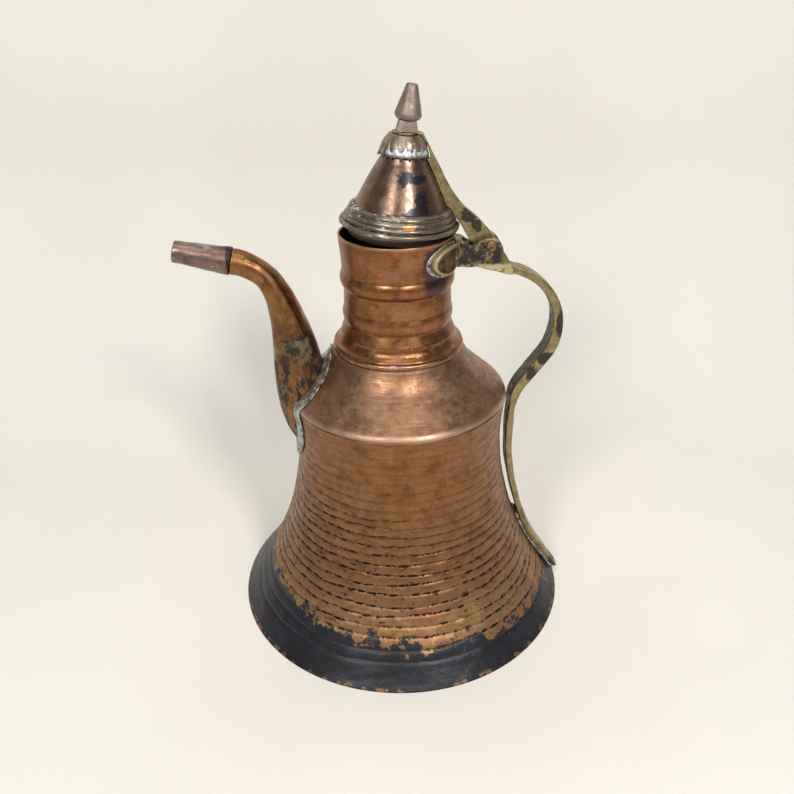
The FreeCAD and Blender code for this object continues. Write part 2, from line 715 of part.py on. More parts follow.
def handle_side():
    """Side outline of the handle strap: out from the hinge, round the grip, in
    to the shoulder and down beside the bell to the foot."""
    start_x = PIN_X + d.handle_start
    top = PIN_Z - d.handle_drop
    grip_x = PIN_X + d.grip_out
    grip_z = PIN_Z - d.grip_drop
    tuck = d.crease_radius + 2.7
    waist = d.waist_radius + d.waist_gap
    flare = d.flare_radius + d.flare_gap
    knee = d.knee_radius + d.knee_gap
    end = d.base_radius - d.foot_end * 0.75 + d.knee_gap
    span = WAIST_HEIGHT - d.flare_height
    middle = d.flare_height + span * 0.57
    low = d.flare_height + span * 0.256
    outer = [
        (start_x, top),
        (grip_x - 1.7, grip_z + 14.4, grip_x - 14.1, grip_z + 31.6),
        (grip_x - 4.6, grip_z - 15.5, grip_x, grip_z),
        (tuck + 9.3, d.crease_height + 0.5),
        (tuck + 3.5, d.crease_height - 22.0, tuck + 5.1, d.crease_height - 8.5),
        (waist + d.strap_thick + 0.6, middle, waist + d.strap_thick - 0.1, WAIST_HEIGHT - span * 0.14),
        (flare + d.strap_thick, d.flare_height, waist + d.strap_thick + 2.5, low),
        (knee + d.foot_thick, d.knee_height,
         (flare + knee) / 2 + d.strap_thick - 1.8, (d.flare_height + d.knee_height) / 2),
        (end + d.foot_thick * 0.7, d.foot_end),
    ]
    inner = [
        (end, d.foot_end),
        (knee, d.knee_height),
        (flare, d.flare_height, (flare + knee) / 2 - 1.8, (d.flare_height + d.knee_height) / 2),
        (waist + 0.6, middle, waist + 2.5, low),
        (tuck, d.crease_height - 13.0, waist, WAIST_HEIGHT),
        (tuck + 4.6, d.crease_height + 4.5, tuck + 1.0, d.crease_height - 3.0),
        (grip_x - d.grip_thick - 3.9, grip_z - 12.0),
        (grip_x - d.grip_thick - 1.2, grip_z + 14.0, grip_x - d.grip_thick, grip_z + 3.0),
        (start_x, top - d.strap_thick_top, grip_x - d.grip_thick - 10.6, grip_z + 27.7),
    ]
    return outer + inner


def make_handle(core):
    side = padded("handle_side", handle_side(), d.handle_width * 2)
    top = PIN_Z
    half_top = d.handle_width_top / 2
    half_grip = d.handle_width / 2
    half_foot = d.handle_width_foot / 2
    grip_z = PIN_Z - d.grip_drop
    front = new_body("handle_front")
    sketch = new_sketch(front, "YZ_Plane")
    right = [
        (half_foot * 0.5, 0.0), (half_foot, d.foot_end + 8.0, half_foot * 0.9, d.foot_end),
        (half_grip, d.flare_height), (half_grip, grip_z), (half_top, top - d.handle_drop)]
    left = [(-point[0], point[1]) for point in reversed(right)]
    left[-1] = (*left[-1], -half_foot * 0.9, d.foot_end)
    draw_outline(sketch, [*right, (half_top, top), (-half_top, top), *left])
    pad_sketch(front, sketch, d.base_radius * 2, "One side")
    handle = keep(shared("handle", side, front))
    solder = padded("foot_solder_blank", [
        (d.knee_radius + d.knee_gap * 2, d.knee_height),
        (d.base_radius - d.foot_end * 0.2, d.foot_end + 1.0),
        (d.base_radius - d.foot_end * 2, d.foot_end + 1.0),
        (d.knee_radius - 6.0, d.knee_height),
        (d.flare_radius + 1.0, d.flare_height * 0.75),
        (d.flare_radius + 9.0, d.flare_height * 0.68)], d.handle_width_foot + 1.0)
    keep(cut_away("foot_solder", cut_away("foot_solder_trimmed", solder, core), handle))


# -------------------------------------------------------------------- lid

def lid_place(radius, height):
    return radius, LID_SEAT + height


def cone_line(thinner=0.0):
    """The cone's side from its foot to its flat top."""
    foot = lid_place(CONE_FOOT_RADIUS - thinner, 0.0)
    waist = lid_place(d.cone_waist_radius - thinner, d.cone_waist_height)
    top = (d.cone_top_radius - thinner, CONE_TOP - thinner)
    return [foot, (*waist, *bowed(foot, waist, -d.cone_bulge)), top]


def make_cone_core():
    return turned("cone_core", [(0.0, LID_SEAT), *cone_line(), (0.0, CONE_TOP)])


def make_lid_cone():
    outside = cone_line()
    inside = backward(cone_line(d.lid_wall))
    foot = inside.pop()
    hole = [(d.rivet_radius, CONE_TOP), (d.rivet_radius, CONE_TOP - d.lid_wall)]
    keep_lid(turned("lid_cone", [foot, *outside, *hole, *inside]))


def moulding_line():
    """Four ridges, from the widest at the seat up to the smallest."""
    widest = MOULDING_RADIUS
    step = d.moulding_height
    # The ridges step in as the cone leans in behind them.
    lean = (CONE_FOOT_RADIUS - d.cone_waist_radius) / 15.9
    return [
        lid_place(widest - lean * 1.4, 0.0),
        (*lid_place(widest - lean * 1.6, step * 0.2), *lid_place(widest, step * 0.1)),
        lid_place(widest - lean * 2.4, step * 0.24),
        (*lid_place(widest - lean * 3.4, step * 0.45), *lid_place(widest - lean * 2.1, step * 0.34)),
        (*lid_place(widest - lean * 4.8, step * 0.7), *lid_place(widest - lean * 3.6, step * 0.58)),
        (*lid_place(widest - lean * 6.4, step * 0.94), *lid_place(widest - lean * 5.0, step * 0.82)),
        lid_place(widest - lean * 7.2, step),
    ]


def make_lid_moulding(cone_core):
    inner = lid_place(d.cone_waist_radius, d.moulding_height)
    blank = turned("moulding_blank", [lid_place(d.cone_waist_radius, 0.0), *moulding_line(), inner])
    keep_lid(cut_away("lid_moulding", blank, cone_core))


def make_lid_bezel():
    top = CONE_FOOT_RADIUS - d.bezel_inset
    bottom = top - d.bezel_taper
    keep_lid(turned("lid_bezel", [
        lid_place(top - d.lid_wall, 0.0), lid_place(top, 0.0),
        lid_place(bottom, -d.bezel_depth), lid_place(bottom - d.lid_wall, -d.bezel_depth)]))


def cap_line(thinner=0.0):
    """The cap's side from the petal tips up to its flat top."""
    tip = lid_place(d.cap_tip_radius - thinner, d.cap_tip_height)
    brow = lid_place(d.cap_tip_radius - 0.3 - thinner, d.cap_tip_height + 1.3)
    top = (d.cap_top_radius - thinner * 0.4, CAP_TOP - thinner)
    return [tip, brow, (*top, *bowed(brow, top, -d.cap_bulge))]


def make_lid_cap(cone_core):
    """A domed cap whose lower edge is cut into pointed petals."""
    inside = backward(cap_line(d.cap_sheet))
    foot = inside.pop()
    hole = [(d.rivet_radius, CAP_TOP), (d.rivet_radius, CONE_TOP)]
    cap = turned("lid_cap", [foot, *cap_line(), *hole, *inside])
    notch = new_sketch(cap)
    tip = LID_SEAT + d.cap_tip_height
    low = tip - 1.0
    half_gap = d.petal_gap / 2
    draw_outline(notch, [
        (half_gap, low), (half_gap, tip), (0.0, tip + d.petal_length), (-half_gap, tip), (-half_gap, low)])
    pocket = cap.newObject("PartDesign::Pocket", "petal_notch")
    pocket.Profile = notch
    pocket.Type = "Length"
    pocket.Length = d.cap_tip_radius.number * 2
    pocket.setExpression("Length", (d.cap_tip_radius * 2).formula)
    pocket.Reversed = True
    pattern = cap.newObject("PartDesign::PolarPattern", "petal_notches")
    pattern.Originals = [pocket]
    pattern.Axis = (notch, ["V_Axis"])
    pattern.Angle = 360.0
    pattern.Occurrences = int(d.petal_count.number)
    pattern.setExpression("Occurrences", d.petal_count.formula)
    cap.Tip = pattern
    keep_lid(cap)
    solder_line = cap_line(d.cap_sheet)[1:]
    solder_foot = solder_line[0][1]
    blank = turned("cap_solder_blank", [(0.0, solder_foot), *solder_line, (0.0, CONE_TOP)])
    keep_lid(cut_away("cap_solder", blank, cone_core))


def make_lid_strap(cone_core):
    """The strap runs from the finial down the cone to its eye on the hinge pin."""
    top = CAP_TOP + d.strap_sheet
    edge_x = d.cap_top_radius + 1.8
    side = padded("strap_side", [
        (0.0, CAP_TOP - 4.0),
        (0.0, top),
        (edge_x - 2.3, top),
        (edge_x, top - 2.0, edge_x - 0.9, top - 0.6),
        (d.cap_tip_radius + 2.46, LID_SEAT + d.cap_tip_height),
        (LID_PIN_X - 26.3, PIN_Z + 32.0),
        (LID_PIN_X - 12.3, PIN_Z + 16.8, LID_PIN_X - 19.2, PIN_Z + 23.0),
        (LID_PIN_X + d.eye_radius, PIN_Z, LID_PIN_X - 2.6, PIN_Z + 9.1),
        (LID_PIN_X - d.eye_radius * 0.8, PIN_Z - d.eye_radius * 0.6, LID_PIN_X, PIN_Z - d.eye_radius),
        (LID_PIN_X - 11.3, PIN_Z + 1.5),
        (LID_PIN_X - 16.3, PIN_Z + 8.7),
        (LID_PIN_X - 19.5, PIN_Z + 13.0),
        (LID_PIN_X - 30.0, PIN_Z + 15.0),
        (0.0, CAP_TOP - 14.0)], d.strap_width)
    washer = turned("strap_washer", [
        (0.0, CAP_TOP), (d.strap_eye_radius, CAP_TOP), (d.strap_eye_radius, top), (0.0, top)])
    moulding_core = turned("moulding_core", [
        (0.0, LID_SEAT), *moulding_line(), (0.0, moulding_line()[-1][1])])
    cap_core = turned("cap_core", [(0.0, cap_line()[0][1]), *cap_line(), (0.0, CAP_TOP)])
    lid_core = join("lid_core", moulding_core, cap_core, cone_core)
    blank = cut_away("strap_trimmed", join("strap_blank", side, washer), lid_core)
    pin_bore = new_body("strap_pin_bore")
    pin_sketch = new_sketch(pin_bore)
    draw_circle(pin_sketch, LID_PIN_X, PIN_Z, d.pin_radius + d.pin_play)
    pad_sketch(pin_bore, pin_sketch, d.block_width * 2, "Symmetric")
    rivet_bore = turned("strap_rivet_bore", [
        (0.0, CAP_TOP - 5.0), (d.rivet_radius, CAP_TOP - 5.0),
        (d.rivet_radius, CAP_TOP + 5.0), (0.0, CAP_TOP + 5.0)])
    keep_lid(cut_away("lid_strap", blank, join("strap_bores", pin_bore, rivet_bore)))


def make_finial():
    make_collar()
    socket = KNOB_FOOT + d.rivet_grip
    make_knob(socket)
    washer_top = CONE_TOP - d.lid_wall
    washer_foot = washer_top - d.washer_sheet
    head_foot = washer_foot - d.rivet_head
    keep_lid(turned("finial_washer", [
        (d.rivet_radius, washer_foot), (d.washer_radius, washer_foot),
        (d.washer_radius, washer_top), (d.rivet_radius, washer_top)]))
    keep_lid(turned("finial_rivet", [
        (0.0, head_foot), (d.rivet_head_radius - 0.6, head_foot),
        (d.rivet_head_radius, washer_foot, d.rivet_head_radius - 0.1, head_foot + 0.5),
        (d.rivet_radius, washer_foot), (d.rivet_radius, socket), (0.0, socket)]))


def make_knob(socket):
    """The knob leans on the collar, but its socket is upright like the rivet."""
    foot = KNOB_FOOT - d.knob_foot_sunk
    top = KNOB_FOOT + d.knob_height
    belly = KNOB_FOOT + d.knob_height * 0.13
    shoulder = KNOB_FOOT + d.knob_height * 0.22
    blank = turned("knob_blank", [
        (0.0, foot), (d.knob_foot_radius, foot),
        (d.knob_radius, belly, d.knob_radius - 0.6, belly - 1.3),
        (d.knob_radius - 0.45, shoulder, d.knob_radius - 0.1, (belly + shoulder) / 2),
        (d.knob_top_radius, top - 0.8),
        (d.knob_top_radius * 0.6, top, d.knob_top_radius * 0.9, top - 0.3),
        (0.0, top)])
    blank.Placement = Placement(
        Vector(d.finial_shift.number, 0, 0),
        Rotation(Vector(0, 1, 0), d.knob_lean.number),
        Vector(0, 0, KNOB_FOOT.number))
    blank.setExpression("Placement", (
        f"placement(vector({d.finial_shift.formula};0;0); "
        f"rotation(vector(0;1;0); {d.knob_lean.formula}); "
        f"vector(0;0;{KNOB_FOOT.formula}))"))
    cutter = turned("knob_cutter", [
        (0.0, COLLAR_FOOT), (d.knob_radius * 2, COLLAR_FOOT), (d.knob_radius * 2, KNOB_FOOT),
        (d.rivet_radius, KNOB_FOOT), (d.rivet_radius, socket), (0.0, socket)])
    keep_lid(cut_away("finial_knob", blank, cutter))


def make_collar():
    """A square block that narrows upward, bored for the rivet."""
    body = new_body("collar_block")
    sections = []
    for height, side in ((COLLAR_FOOT, d.collar_foot), (KNOB_FOOT, d.collar_head)):
        sketch = new_sketch(body, "XY_Plane")
        sketch.AttachmentOffset = Placement(Vector(0, 0, height.number), Rotation())
        sketch.setExpression("AttachmentOffset.Base.z", height.formula)
        half = side / 2
        near_x = d.finial_shift - half
        far_x = d.finial_shift + half
        draw_outline(sketch, [(far_x, half), (near_x, half), (near_x, -half), (far_x, -half)])
        sections.append(sketch)
    loft = body.newObject("PartDesign::AdditiveLoft", "collar_loft")
    loft.Profile = sections[0]
    loft.Sections = sections[1:]
    body.Tip = loft
    bore = turned("collar_bore", [
        (0.0, CAP_TOP), (d.rivet_radius, CAP_TOP),
        (d.rivet_radius, KNOB_FOOT + 1.0), (0.0, KNOB_FOOT + 1.0)])
    keep_lid(cut_away("finial_collar", body, bore))


# ------------------------------------------------------------------- build

def make_ewer():
    names = [name for name, *_ in SPOUT_SECTIONS]
    core = make_body_core("body_core", 0.0)
    bore = spout_loft("spout_bore", names, d.spout_wall, beyond=2.0)
    bell = make_bell(bore)
    make_base()
    make_shoulder(bore)
    make_neck()
    make_neck_ring()
    make_spout(core, bore)
    make_spout_tip()
    make_spout_solder(core, DOCUMENT.getObject("spout_horn"))
    make_hinge_block()
    make_hinge_pin()
    make_handle(core)
    cone_core = make_cone_core()
    make_lid_cone()
    make_lid_moulding(cone_core)
    make_lid_bezel()
    make_lid_cap(cone_core)
    make_lid_strap(cone_core)
    make_finial()


def check_document():
    """Stop if any object failed, or if a sub-part is not one sound shape."""
    faults = []
    for item in DOCUMENT.Objects:
        if "Invalid" in item.State or "Error" in item.State:
            faults.append(f"{item.Label}: {item.State}")
    for item in PART_NODES:
        shape = item.Shape
        if shape.isNull() or not shape.isValid() or not shape.Solids:
            faults.append(f"{item.Label}: no sound solid")
    if faults:
        raise RuntimeError("; ".join(faults))


def write_parts():
    os.makedirs("parts", exist_ok=True)
    for item in PART_NODES:
        item.Shape.exportStep(os.path.join("parts", item.Label + ".step"))


make_ewer()
DOCUMENT.recompute()
check_document()
write_parts()
for node in PART_NODES:
    box = node.Shape.BoundBox
    reach = f"x {box.XMin:.1f} {box.XMax:.1f} y {box.YMin:.1f} {box.YMax:.1f} z {box.ZMin:.1f} {box.ZMax:.1f}"
    print(f"{node.Label:15s} solids {len(node.Shape.Solids)} volume {node.Shape.Volume:.1f} {reach}")
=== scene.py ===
import json
import math

import bmesh
import bpy
import numpy as np
from mathutils import Matrix, Vector
from mathutils.bvhtree import BVHTree


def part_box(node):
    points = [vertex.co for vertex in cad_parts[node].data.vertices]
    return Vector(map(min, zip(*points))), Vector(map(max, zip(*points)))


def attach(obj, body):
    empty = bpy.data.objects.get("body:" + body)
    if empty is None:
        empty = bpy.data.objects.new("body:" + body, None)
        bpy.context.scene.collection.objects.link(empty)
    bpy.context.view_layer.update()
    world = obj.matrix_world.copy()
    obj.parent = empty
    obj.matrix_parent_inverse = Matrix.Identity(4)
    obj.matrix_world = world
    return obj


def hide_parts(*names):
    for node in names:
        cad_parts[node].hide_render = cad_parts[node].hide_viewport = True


# Looks of the copper ewer. Metres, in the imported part's own frame: +Z up, the
# handle toward +X and the spout toward -X. Every piece follows its CAD node.

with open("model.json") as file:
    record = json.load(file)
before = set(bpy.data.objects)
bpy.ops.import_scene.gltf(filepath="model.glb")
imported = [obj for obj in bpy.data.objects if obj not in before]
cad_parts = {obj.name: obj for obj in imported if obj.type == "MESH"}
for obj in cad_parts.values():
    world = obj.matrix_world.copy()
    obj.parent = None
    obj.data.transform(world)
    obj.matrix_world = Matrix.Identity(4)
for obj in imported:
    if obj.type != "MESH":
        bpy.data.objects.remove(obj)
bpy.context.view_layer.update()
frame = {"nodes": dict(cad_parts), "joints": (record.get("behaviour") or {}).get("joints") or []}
NODES = frame["nodes"]
HINGE = frame["joints"][0]
PIN = Vector(HINGE["pos_m"])
LID_OPEN = -math.radians(HINGE["range_deg"][0])
MM = 0.001
LID_SLOPE = 0.0787
LID_OFFSET = 0.6 * MM

# Carries the closed, upright lid to the place that it has at rest.
LID = (
    Matrix.Translation(PIN)
    @ Matrix.Rotation(LID_OPEN, 4, "Y")
    @ Matrix.Translation(Vector((LID_OFFSET, 0, 0)) - PIN)
)
UPRIGHT = Matrix.Identity(4)
# An azimuth at which neither spout nor handle interrupts a turned piece.
CLEAR_SIDE = math.radians(100)


# ---------------------------------------------------------------- geometry

def bvh_of(node):
    mesh = NODES[node].data
    return BVHTree.FromPolygons([v.co for v in mesh.vertices], [p.vertices for p in mesh.polygons])


def heights_between(low, high, step):
    count = max(3, int(round((high - low) / step)) + 1)
    return np.linspace(low, high, count)


def measure_side(node, azimuth, heights, place=UPRIGHT, inside=False):
    """The node's radius at each height, met by level rays toward its axis, or
    away from it for the inside. The heights are in the node's upright frame."""
    tree = bvh_of(node)
    way = Vector((math.cos(azimuth), math.sin(azimuth), 0))
    spin = place.to_3x3()
    radii = []
    for height in heights:
        axis = Vector((0, 0, height))
        start = axis if inside else axis + way * 0.3
        aim = way if inside else -way
        hit = tree.ray_cast(place @ start, spin @ aim)[0]
        radii.append(np.nan if hit is None else (place.inverted() @ hit - axis).length)
    radii = np.array(radii)
    heights = np.array(heights)
    known = np.flatnonzero(~np.isnan(radii))
    known = known[np.argsort(heights[known])]
    return np.interp(heights, heights[known], radii[known])


def waves(points, size, seed, count=7):
    """Smooth seeded unevenness, about -1 to 1, with features of about this size."""
    draw = np.random.default_rng(seed)
    total = np.zeros(len(points))
    for _ in range(count):
        way = draw.normal(size=3)
        way /= np.linalg.norm(way)
        pitch = size * draw.uniform(0.7, 1.6)
        total += np.sin(points @ way * (2 * math.pi / pitch) + draw.uniform(0, 2 * math.pi))
    return total / math.sqrt(count)


def drawn_in(points, move):
    """The points moved level, away from the axis by move or toward it."""
    radius = np.hypot(points[:, 0], points[:, 1])
    scale = (radius + move) / radius
    return points * np.stack([scale, scale, np.ones_like(scale)], axis=1)


def make_object(name, points, faces, masks=None):
    mesh = bpy.data.meshes.new(name)
    mesh.from_pydata([tuple(p) for p in points], [], [tuple(int(i) for i in f) for f in faces])
    mesh.validate()
    for key, values in (masks or {}).items():
        layer = mesh.attributes.new(key, "FLOAT", "POINT")
        layer.data.foreach_set("value", np.asarray(values, np.float32))
    mesh.shade_smooth()
    item = bpy.data.objects.new(name, mesh)
    bpy.context.scene.collection.objects.link(item)
    return item


def close_up(item):
    """Merge doubled points and turn every face outward."""
    work = bmesh.new()
    work.from_mesh(item.data)
    bmesh.ops.remove_doubles(work, verts=work.verts, dist=1e-6)
    bmesh.ops.recalc_face_normals(work, faces=work.faces)
    work.to_mesh(item.data)
    work.free()
    return item


def turned_points(radii, heights, around):
    """Rings of points: one ring per station of a closed or open side line."""
    turn = np.arange(around) * (2 * math.pi / around)
    points = np.empty((len(radii), around, 3))
    points[..., 0] = np.outer(radii, np.cos(turn))
    points[..., 1] = np.outer(radii, np.sin(turn))
    points[..., 2] = np.array(heights)[:, None]
    return points


def ring_faces(stations, around, closed):
    """Quads between neighbouring rings; a closed side line joins last to first."""
    faces = []
    last = stations if closed else stations - 1
    for ring in range(last):
        above = (ring + 1) % stations
        for step in range(around):
            beside = (step + 1) % around
            faces.append((ring * around + step, ring * around + beside,
                          above * around + beside, above * around + step))
    return faces


def finish_piece(item, node, body, material):
    """The piece rides on its body and stands for its CAD node."""
    item.data.materials.clear()
    item.data.materials.append(material)
    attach(item, body)
    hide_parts(node)
    return item


def place_points(points, matrix):
    spin = np.array(matrix.to_3x3())
    return points @ spin.T + np.array(matrix.translation)


def shell(name, node, azimuth, step, around, place=UPRIGHT, change=None, margin=0.05 * MM, hole=None):
    """A turned sheet piece: outside and inside lines are measured on the node.
    change(points, outer) returns moved points and masks. hole(points) marks the
    places where both skins are left out, and their edges are then joined."""
    low, high = upright_span(node, place)
    heights = heights_between(low + margin, high - margin, step)
    outer = measure_side(node, azimuth, heights, place)
    inner = measure_side(node, azimuth, heights, place, inside=True)
    stations = len(heights)
    radii = np.concatenate([outer, inner[::-1]])
    levels = np.concatenate([heights, heights[::-1]])
    levels[0] = levels[-1] = low
    levels[stations - 1] = levels[stations] = high
    points = turned_points(radii, levels, around)
    flat = points.reshape(-1, 3)
    is_outer = np.zeros(len(flat), bool)
    is_outer[:stations * around] = True
    masks = {}
    if change is not None:
        flat, masks = change(flat, is_outer)
    faces = ring_faces(stations * 2, around, True)
    if hole is not None:
        faces = cut_hole(flat, faces, stations, around, hole)
    item = make_object(name, place_points(flat, place), faces, masks)
    return close_up(item)


def cut_hole(points, faces, stations, around, hole):
    """Leave out the same cells of both skins and join the two cut edges."""
    open_cells = set()
    for ring in range(stations - 1):
        for step in range(around):
            beside = (step + 1) % around
            corner = [ring * around + step, ring * around + beside,
                      (ring + 1) * around + beside, (ring + 1) * around + step]
            if hole(points[corner].mean(axis=0)):
                open_cells.add((ring, step))
    total = stations * 2
    kept = []
    for index, face in enumerate(faces):
        ring, step = divmod(index, around)
        mirror = total - 2 - ring
        outer_cell = ring < stations - 1 and (ring, step) in open_cells
        inner_cell = stations <= ring < total - 1 and (mirror, step) in open_cells
        if not outer_cell and not inner_cell:
            kept.append(face)
    for ring, step in sorted(open_cells):
        beside = (step + 1) % around
        sides = (
            ((ring - 1, step), (ring, step), (ring, beside)),
            ((ring + 1, step), (ring + 1, beside), (ring + 1, step)),
            ((ring, (step - 1) % around), (ring + 1, step), (ring, step)),
            ((ring, beside), (ring, beside), (ring + 1, beside)),
        )
        for cell, first, second in sides:
            if cell in open_cells:
                continue
            a = first[0] * around + first[1]
            b = second[0] * around + second[1]
            a_in = (total - 1 - first[0]) * around + first[1]
            b_in = (total - 1 - second[0]) * around + second[1]
            kept.append((a, b, b_in, a_in))
    return kept


def upright_span(node, place):
    back = np.array(place.inverted().to_3x3())
    shift = np.array(place.inverted().translation)
    points = np.array([v.co for v in NODES[node].data.vertices]) @ back.T + shift
    return points[:, 2].min(), points[:, 2].max()


def remade(name, node, voxel, passes, lumps=0.0, lump_size=6 * MM, seed=1):
    """A softened copy of a CAD node: an even new mesh, rounded and a little lumpy."""
    source = bpy.data.objects.new(name + "_blank", NODES[node].data.copy())
    bpy.context.scene.collection.objects.link(source)
    remesh = source.modifiers.new("even", "REMESH")
    remesh.mode = "VOXEL"
    remesh.voxel_size = voxel
    soften = source.modifiers.new("soft", "SMOOTH")
    soften.factor = 0.5
    soften.iterations = passes
    bpy.context.view_layer.update()
    graph = bpy.context.evaluated_depsgraph_get()
    mesh = bpy.data.meshes.new_from_object(source.evaluated_get(graph), depsgraph=graph)
    bpy.data.objects.remove(source)
    count = len(mesh.vertices)
    points = np.empty(count * 3)
    mesh.vertices.foreach_get("co", points)
    points = points.reshape(-1, 3)
    normals = np.empty(count * 3)
    mesh.vertices.foreach_get("normal", normals)
    normals = normals.reshape(-1, 3)
    if lumps:
        points = points + normals * (waves(points, lump_size, seed) * lumps)[:, None]
        mesh.vertices.foreach_set("co", points.reshape(-1))
    mesh.name = name
    mesh.shade_smooth()
    item = bpy.data.objects.new(name, mesh)
    bpy.context.scene.collection.objects.link(item)
    return item


# --------------------------------------------------------------- materials

class Paint:
    """Builds one procedural material from masks laid over the frame's own axes."""

    def __init__(self, name):
        self.material = bpy.data.materials.new(name)
        self.material.use_nodes = True
        self.tree = self.material.node_tree
        self.tree.nodes.clear()
        self.place = self.node("ShaderNodeTexCoord").outputs["Object"]
        split = self.node("ShaderNodeSeparateXYZ")
        self.join(self.place, split.inputs[0])
        self.x, self.y, self.z = split.outputs

    def node(self, kind, **settings):
        item = self.tree.nodes.new(kind)
        for key, value in settings.items():
            setattr(item, key, value)
        return item

    def join(self, source, target):
        if hasattr(source, "links"):
            self.tree.links.new(source, target)
        else:
            target.default_value = source

    def math(self, operation, first, second):
        item = self.node("ShaderNodeMath", operation=operation)
        self.join(first, item.inputs[0])
        self.join(second, item.inputs[1])
        return item.outputs[0]

    def ramp(self, value, low, high):
        """0 below low, 1 above high, smooth between; low may be the larger."""
        item = self.node("ShaderNodeMapRange", interpolation_type="SMOOTHSTEP", clamp=True)
        flip = low > high
        self.join(value, item.inputs["Value"])
        item.inputs["From Min"].default_value = min(low, high)
        item.inputs["From Max"].default_value = max(low, high)
        item.inputs["To Min"].default_value = 1.0 if flip else 0.0
        item.inputs["To Max"].default_value = 0.0 if flip else 1.0
        return item.outputs["Result"]

    def noise(self, size, detail=4.0, rough=0.55, stretch=(1, 1, 1), shift=0.0):
        """Noise with features of about this size, in metres, drawn out by stretch."""
        mapping = self.node("ShaderNodeMapping")
        self.join(self.place, mapping.inputs["Vector"])
        mapping.inputs["Location"].default_value = (shift, shift * 0.7, -shift)
        mapping.inputs["Scale"].default_value = tuple(1 / s for s in stretch)
        item = self.node("ShaderNodeTexNoise")
        self.join(mapping.outputs[0], item.inputs["Vector"])
        item.inputs["Scale"].default_value = 1 / size
        item.inputs["Detail"].default_value = detail
        item.inputs["Roughness"].default_value = rough
        item.inputs["Distortion"].default_value = 0.0
        return item.outputs[0]

    def patches(self, size, low, high, **more):
        return self.ramp(self.noise(size, **more), low, high)

    def near(self, centre, reach, ragged=0.5, size=6 * MM, stretch=(1, 1, 1), shift=0.0):
        """1 near a place and 0 past its reach, with a ragged edge."""
        offset = self.node("ShaderNodeVectorMath", operation="SUBTRACT")
        self.join(self.place, offset.inputs[0])
        offset.inputs[1].default_value = centre
        shape = self.node("ShaderNodeVectorMath", operation="DIVIDE")
        self.join(offset.outputs[0], shape.inputs[0])
        shape.inputs[1].default_value = tuple(reach * s for s in stretch)
        length = self.node("ShaderNodeVectorMath", operation="LENGTH")
        self.join(shape.outputs[0], length.inputs[0])
        wild = self.math("SUBTRACT", self.noise(size, detail=7, rough=0.75, shift=shift), 0.5)
        push = self.math("MULTIPLY", wild, ragged * 5)
        distance = self.math("ADD", length.outputs["Value"], push)
        return self.ramp(distance, 1.06, 0.90)

    def mask(self, name):
        return self.node("ShaderNodeAttribute", attribute_name=name).outputs["Fac"]

    def both(self, first, second):
        return self.math("MULTIPLY", first, second)

    def either(self, first, second):
        return self.math("MAXIMUM", first, second)

    def blend(self, first, second, share):
        """Second over first, by share. Colours are (r, g, b)."""
        item = self.node("ShaderNodeMix", data_type="RGBA")
        self.join(share, item.inputs["Factor"])
        for colour, socket in ((first, item.inputs[6]), (second, item.inputs[7])):
            self.join((*colour, 1.0) if isinstance(colour, tuple) else colour, socket)
        return item.outputs[2]

    def lay(self, below, above, mask, share):
        """Above over below where the mask is, at no more than this share."""
        return self.blend(below, above, self.both(mask, share))

    def number(self, first, second, share):
        """A number that goes from first to second by share."""
        item = self.node("ShaderNodeMix", data_type="FLOAT")
        self.join(share, item.inputs["Factor"])
        self.join(first, item.inputs[2])
        self.join(second, item.inputs[3])
        return item.outputs[0]

    def bump(self, height, depth, below=None):
        item = self.node("ShaderNodeBump")
        item.inputs["Strength"].default_value = 1.0
        item.inputs["Distance"].default_value = depth
        self.join(height, item.inputs["Height"])
        if below is not None:
            self.join(below, item.inputs["Normal"])
        return item.outputs[0]

    def done(self, colour, roughness, metallic=1.0, normal=None):
        shader = self.node("ShaderNodeBsdfPrincipled")
        self.join((*colour, 1.0) if isinstance(colour, tuple) else colour, shader.inputs["Base Color"])
        self.join(roughness, shader.inputs["Roughness"])
        self.join(metallic, shader.inputs["Metallic"])
        if normal is not None:
            self.join(normal, shader.inputs["Normal"])
        output = self.node("ShaderNodeOutputMaterial")
        self.join(shader.outputs[0], output.inputs[0])
        return self.material


COPPER = (0.275, 0.130, 0.056)
COPPER_DEEP = (0.150, 0.064, 0.026)
COPPER_ROSE = (0.33, 0.185, 0.11)
COPPER_BRIGHT = (0.50, 0.28, 0.15)
COPPER_MATTE = (0.37, 0.20, 0.11)
GOLD = (0.40, 0.30, 0.12)
OLIVE = (0.26, 0.21, 0.10)
CREAM = (0.55, 0.48, 0.28)
UMBER = (0.060, 0.036, 0.024)
SOOT = (0.008, 0.008, 0.011)
SOOT_BLUE = (0.012, 0.013, 0.026)
STAIN = (0.014, 0.012, 0.022)
TIN = (0.50, 0.51, 0.50)


def copper_base(paint, tone=COPPER, deep=COPPER_DEEP, light=COPPER_ROSE):
    """Uneven old copper: broad tone, smaller mottling and fine scratches."""
    colour = paint.blend(tone, deep, paint.patches(11 * MM, 0.42, 0.72, detail=8, rough=0.7, shift=3.1))
    rosy = paint.patches(9 * MM, 0.50, 0.80, detail=8, rough=0.72, shift=7.7)
    colour = paint.blend(colour, light, rosy)
    speck = paint.patches(1.6 * MM, 0.60, 0.74, detail=3, shift=1.3)
    return paint.blend(colour, UMBER, paint.both(speck, 0.55))


def uneven(paint, low, high, size):
    """A roughness that wanders from low to high."""
    return paint.number(low, high, paint.patches(size, 0.35, 0.7, shift=1.0))


def scratch_lines(paint, length, gap, low, high, shift=0.0, upright=False):
    """Fine lines, drawn out level round the piece, or upright."""
    stretch = (1, 1, length) if upright else (length, length, 1)
    return paint.patches(gap, low, high, detail=2, rough=0.6, stretch=stretch, shift=shift)


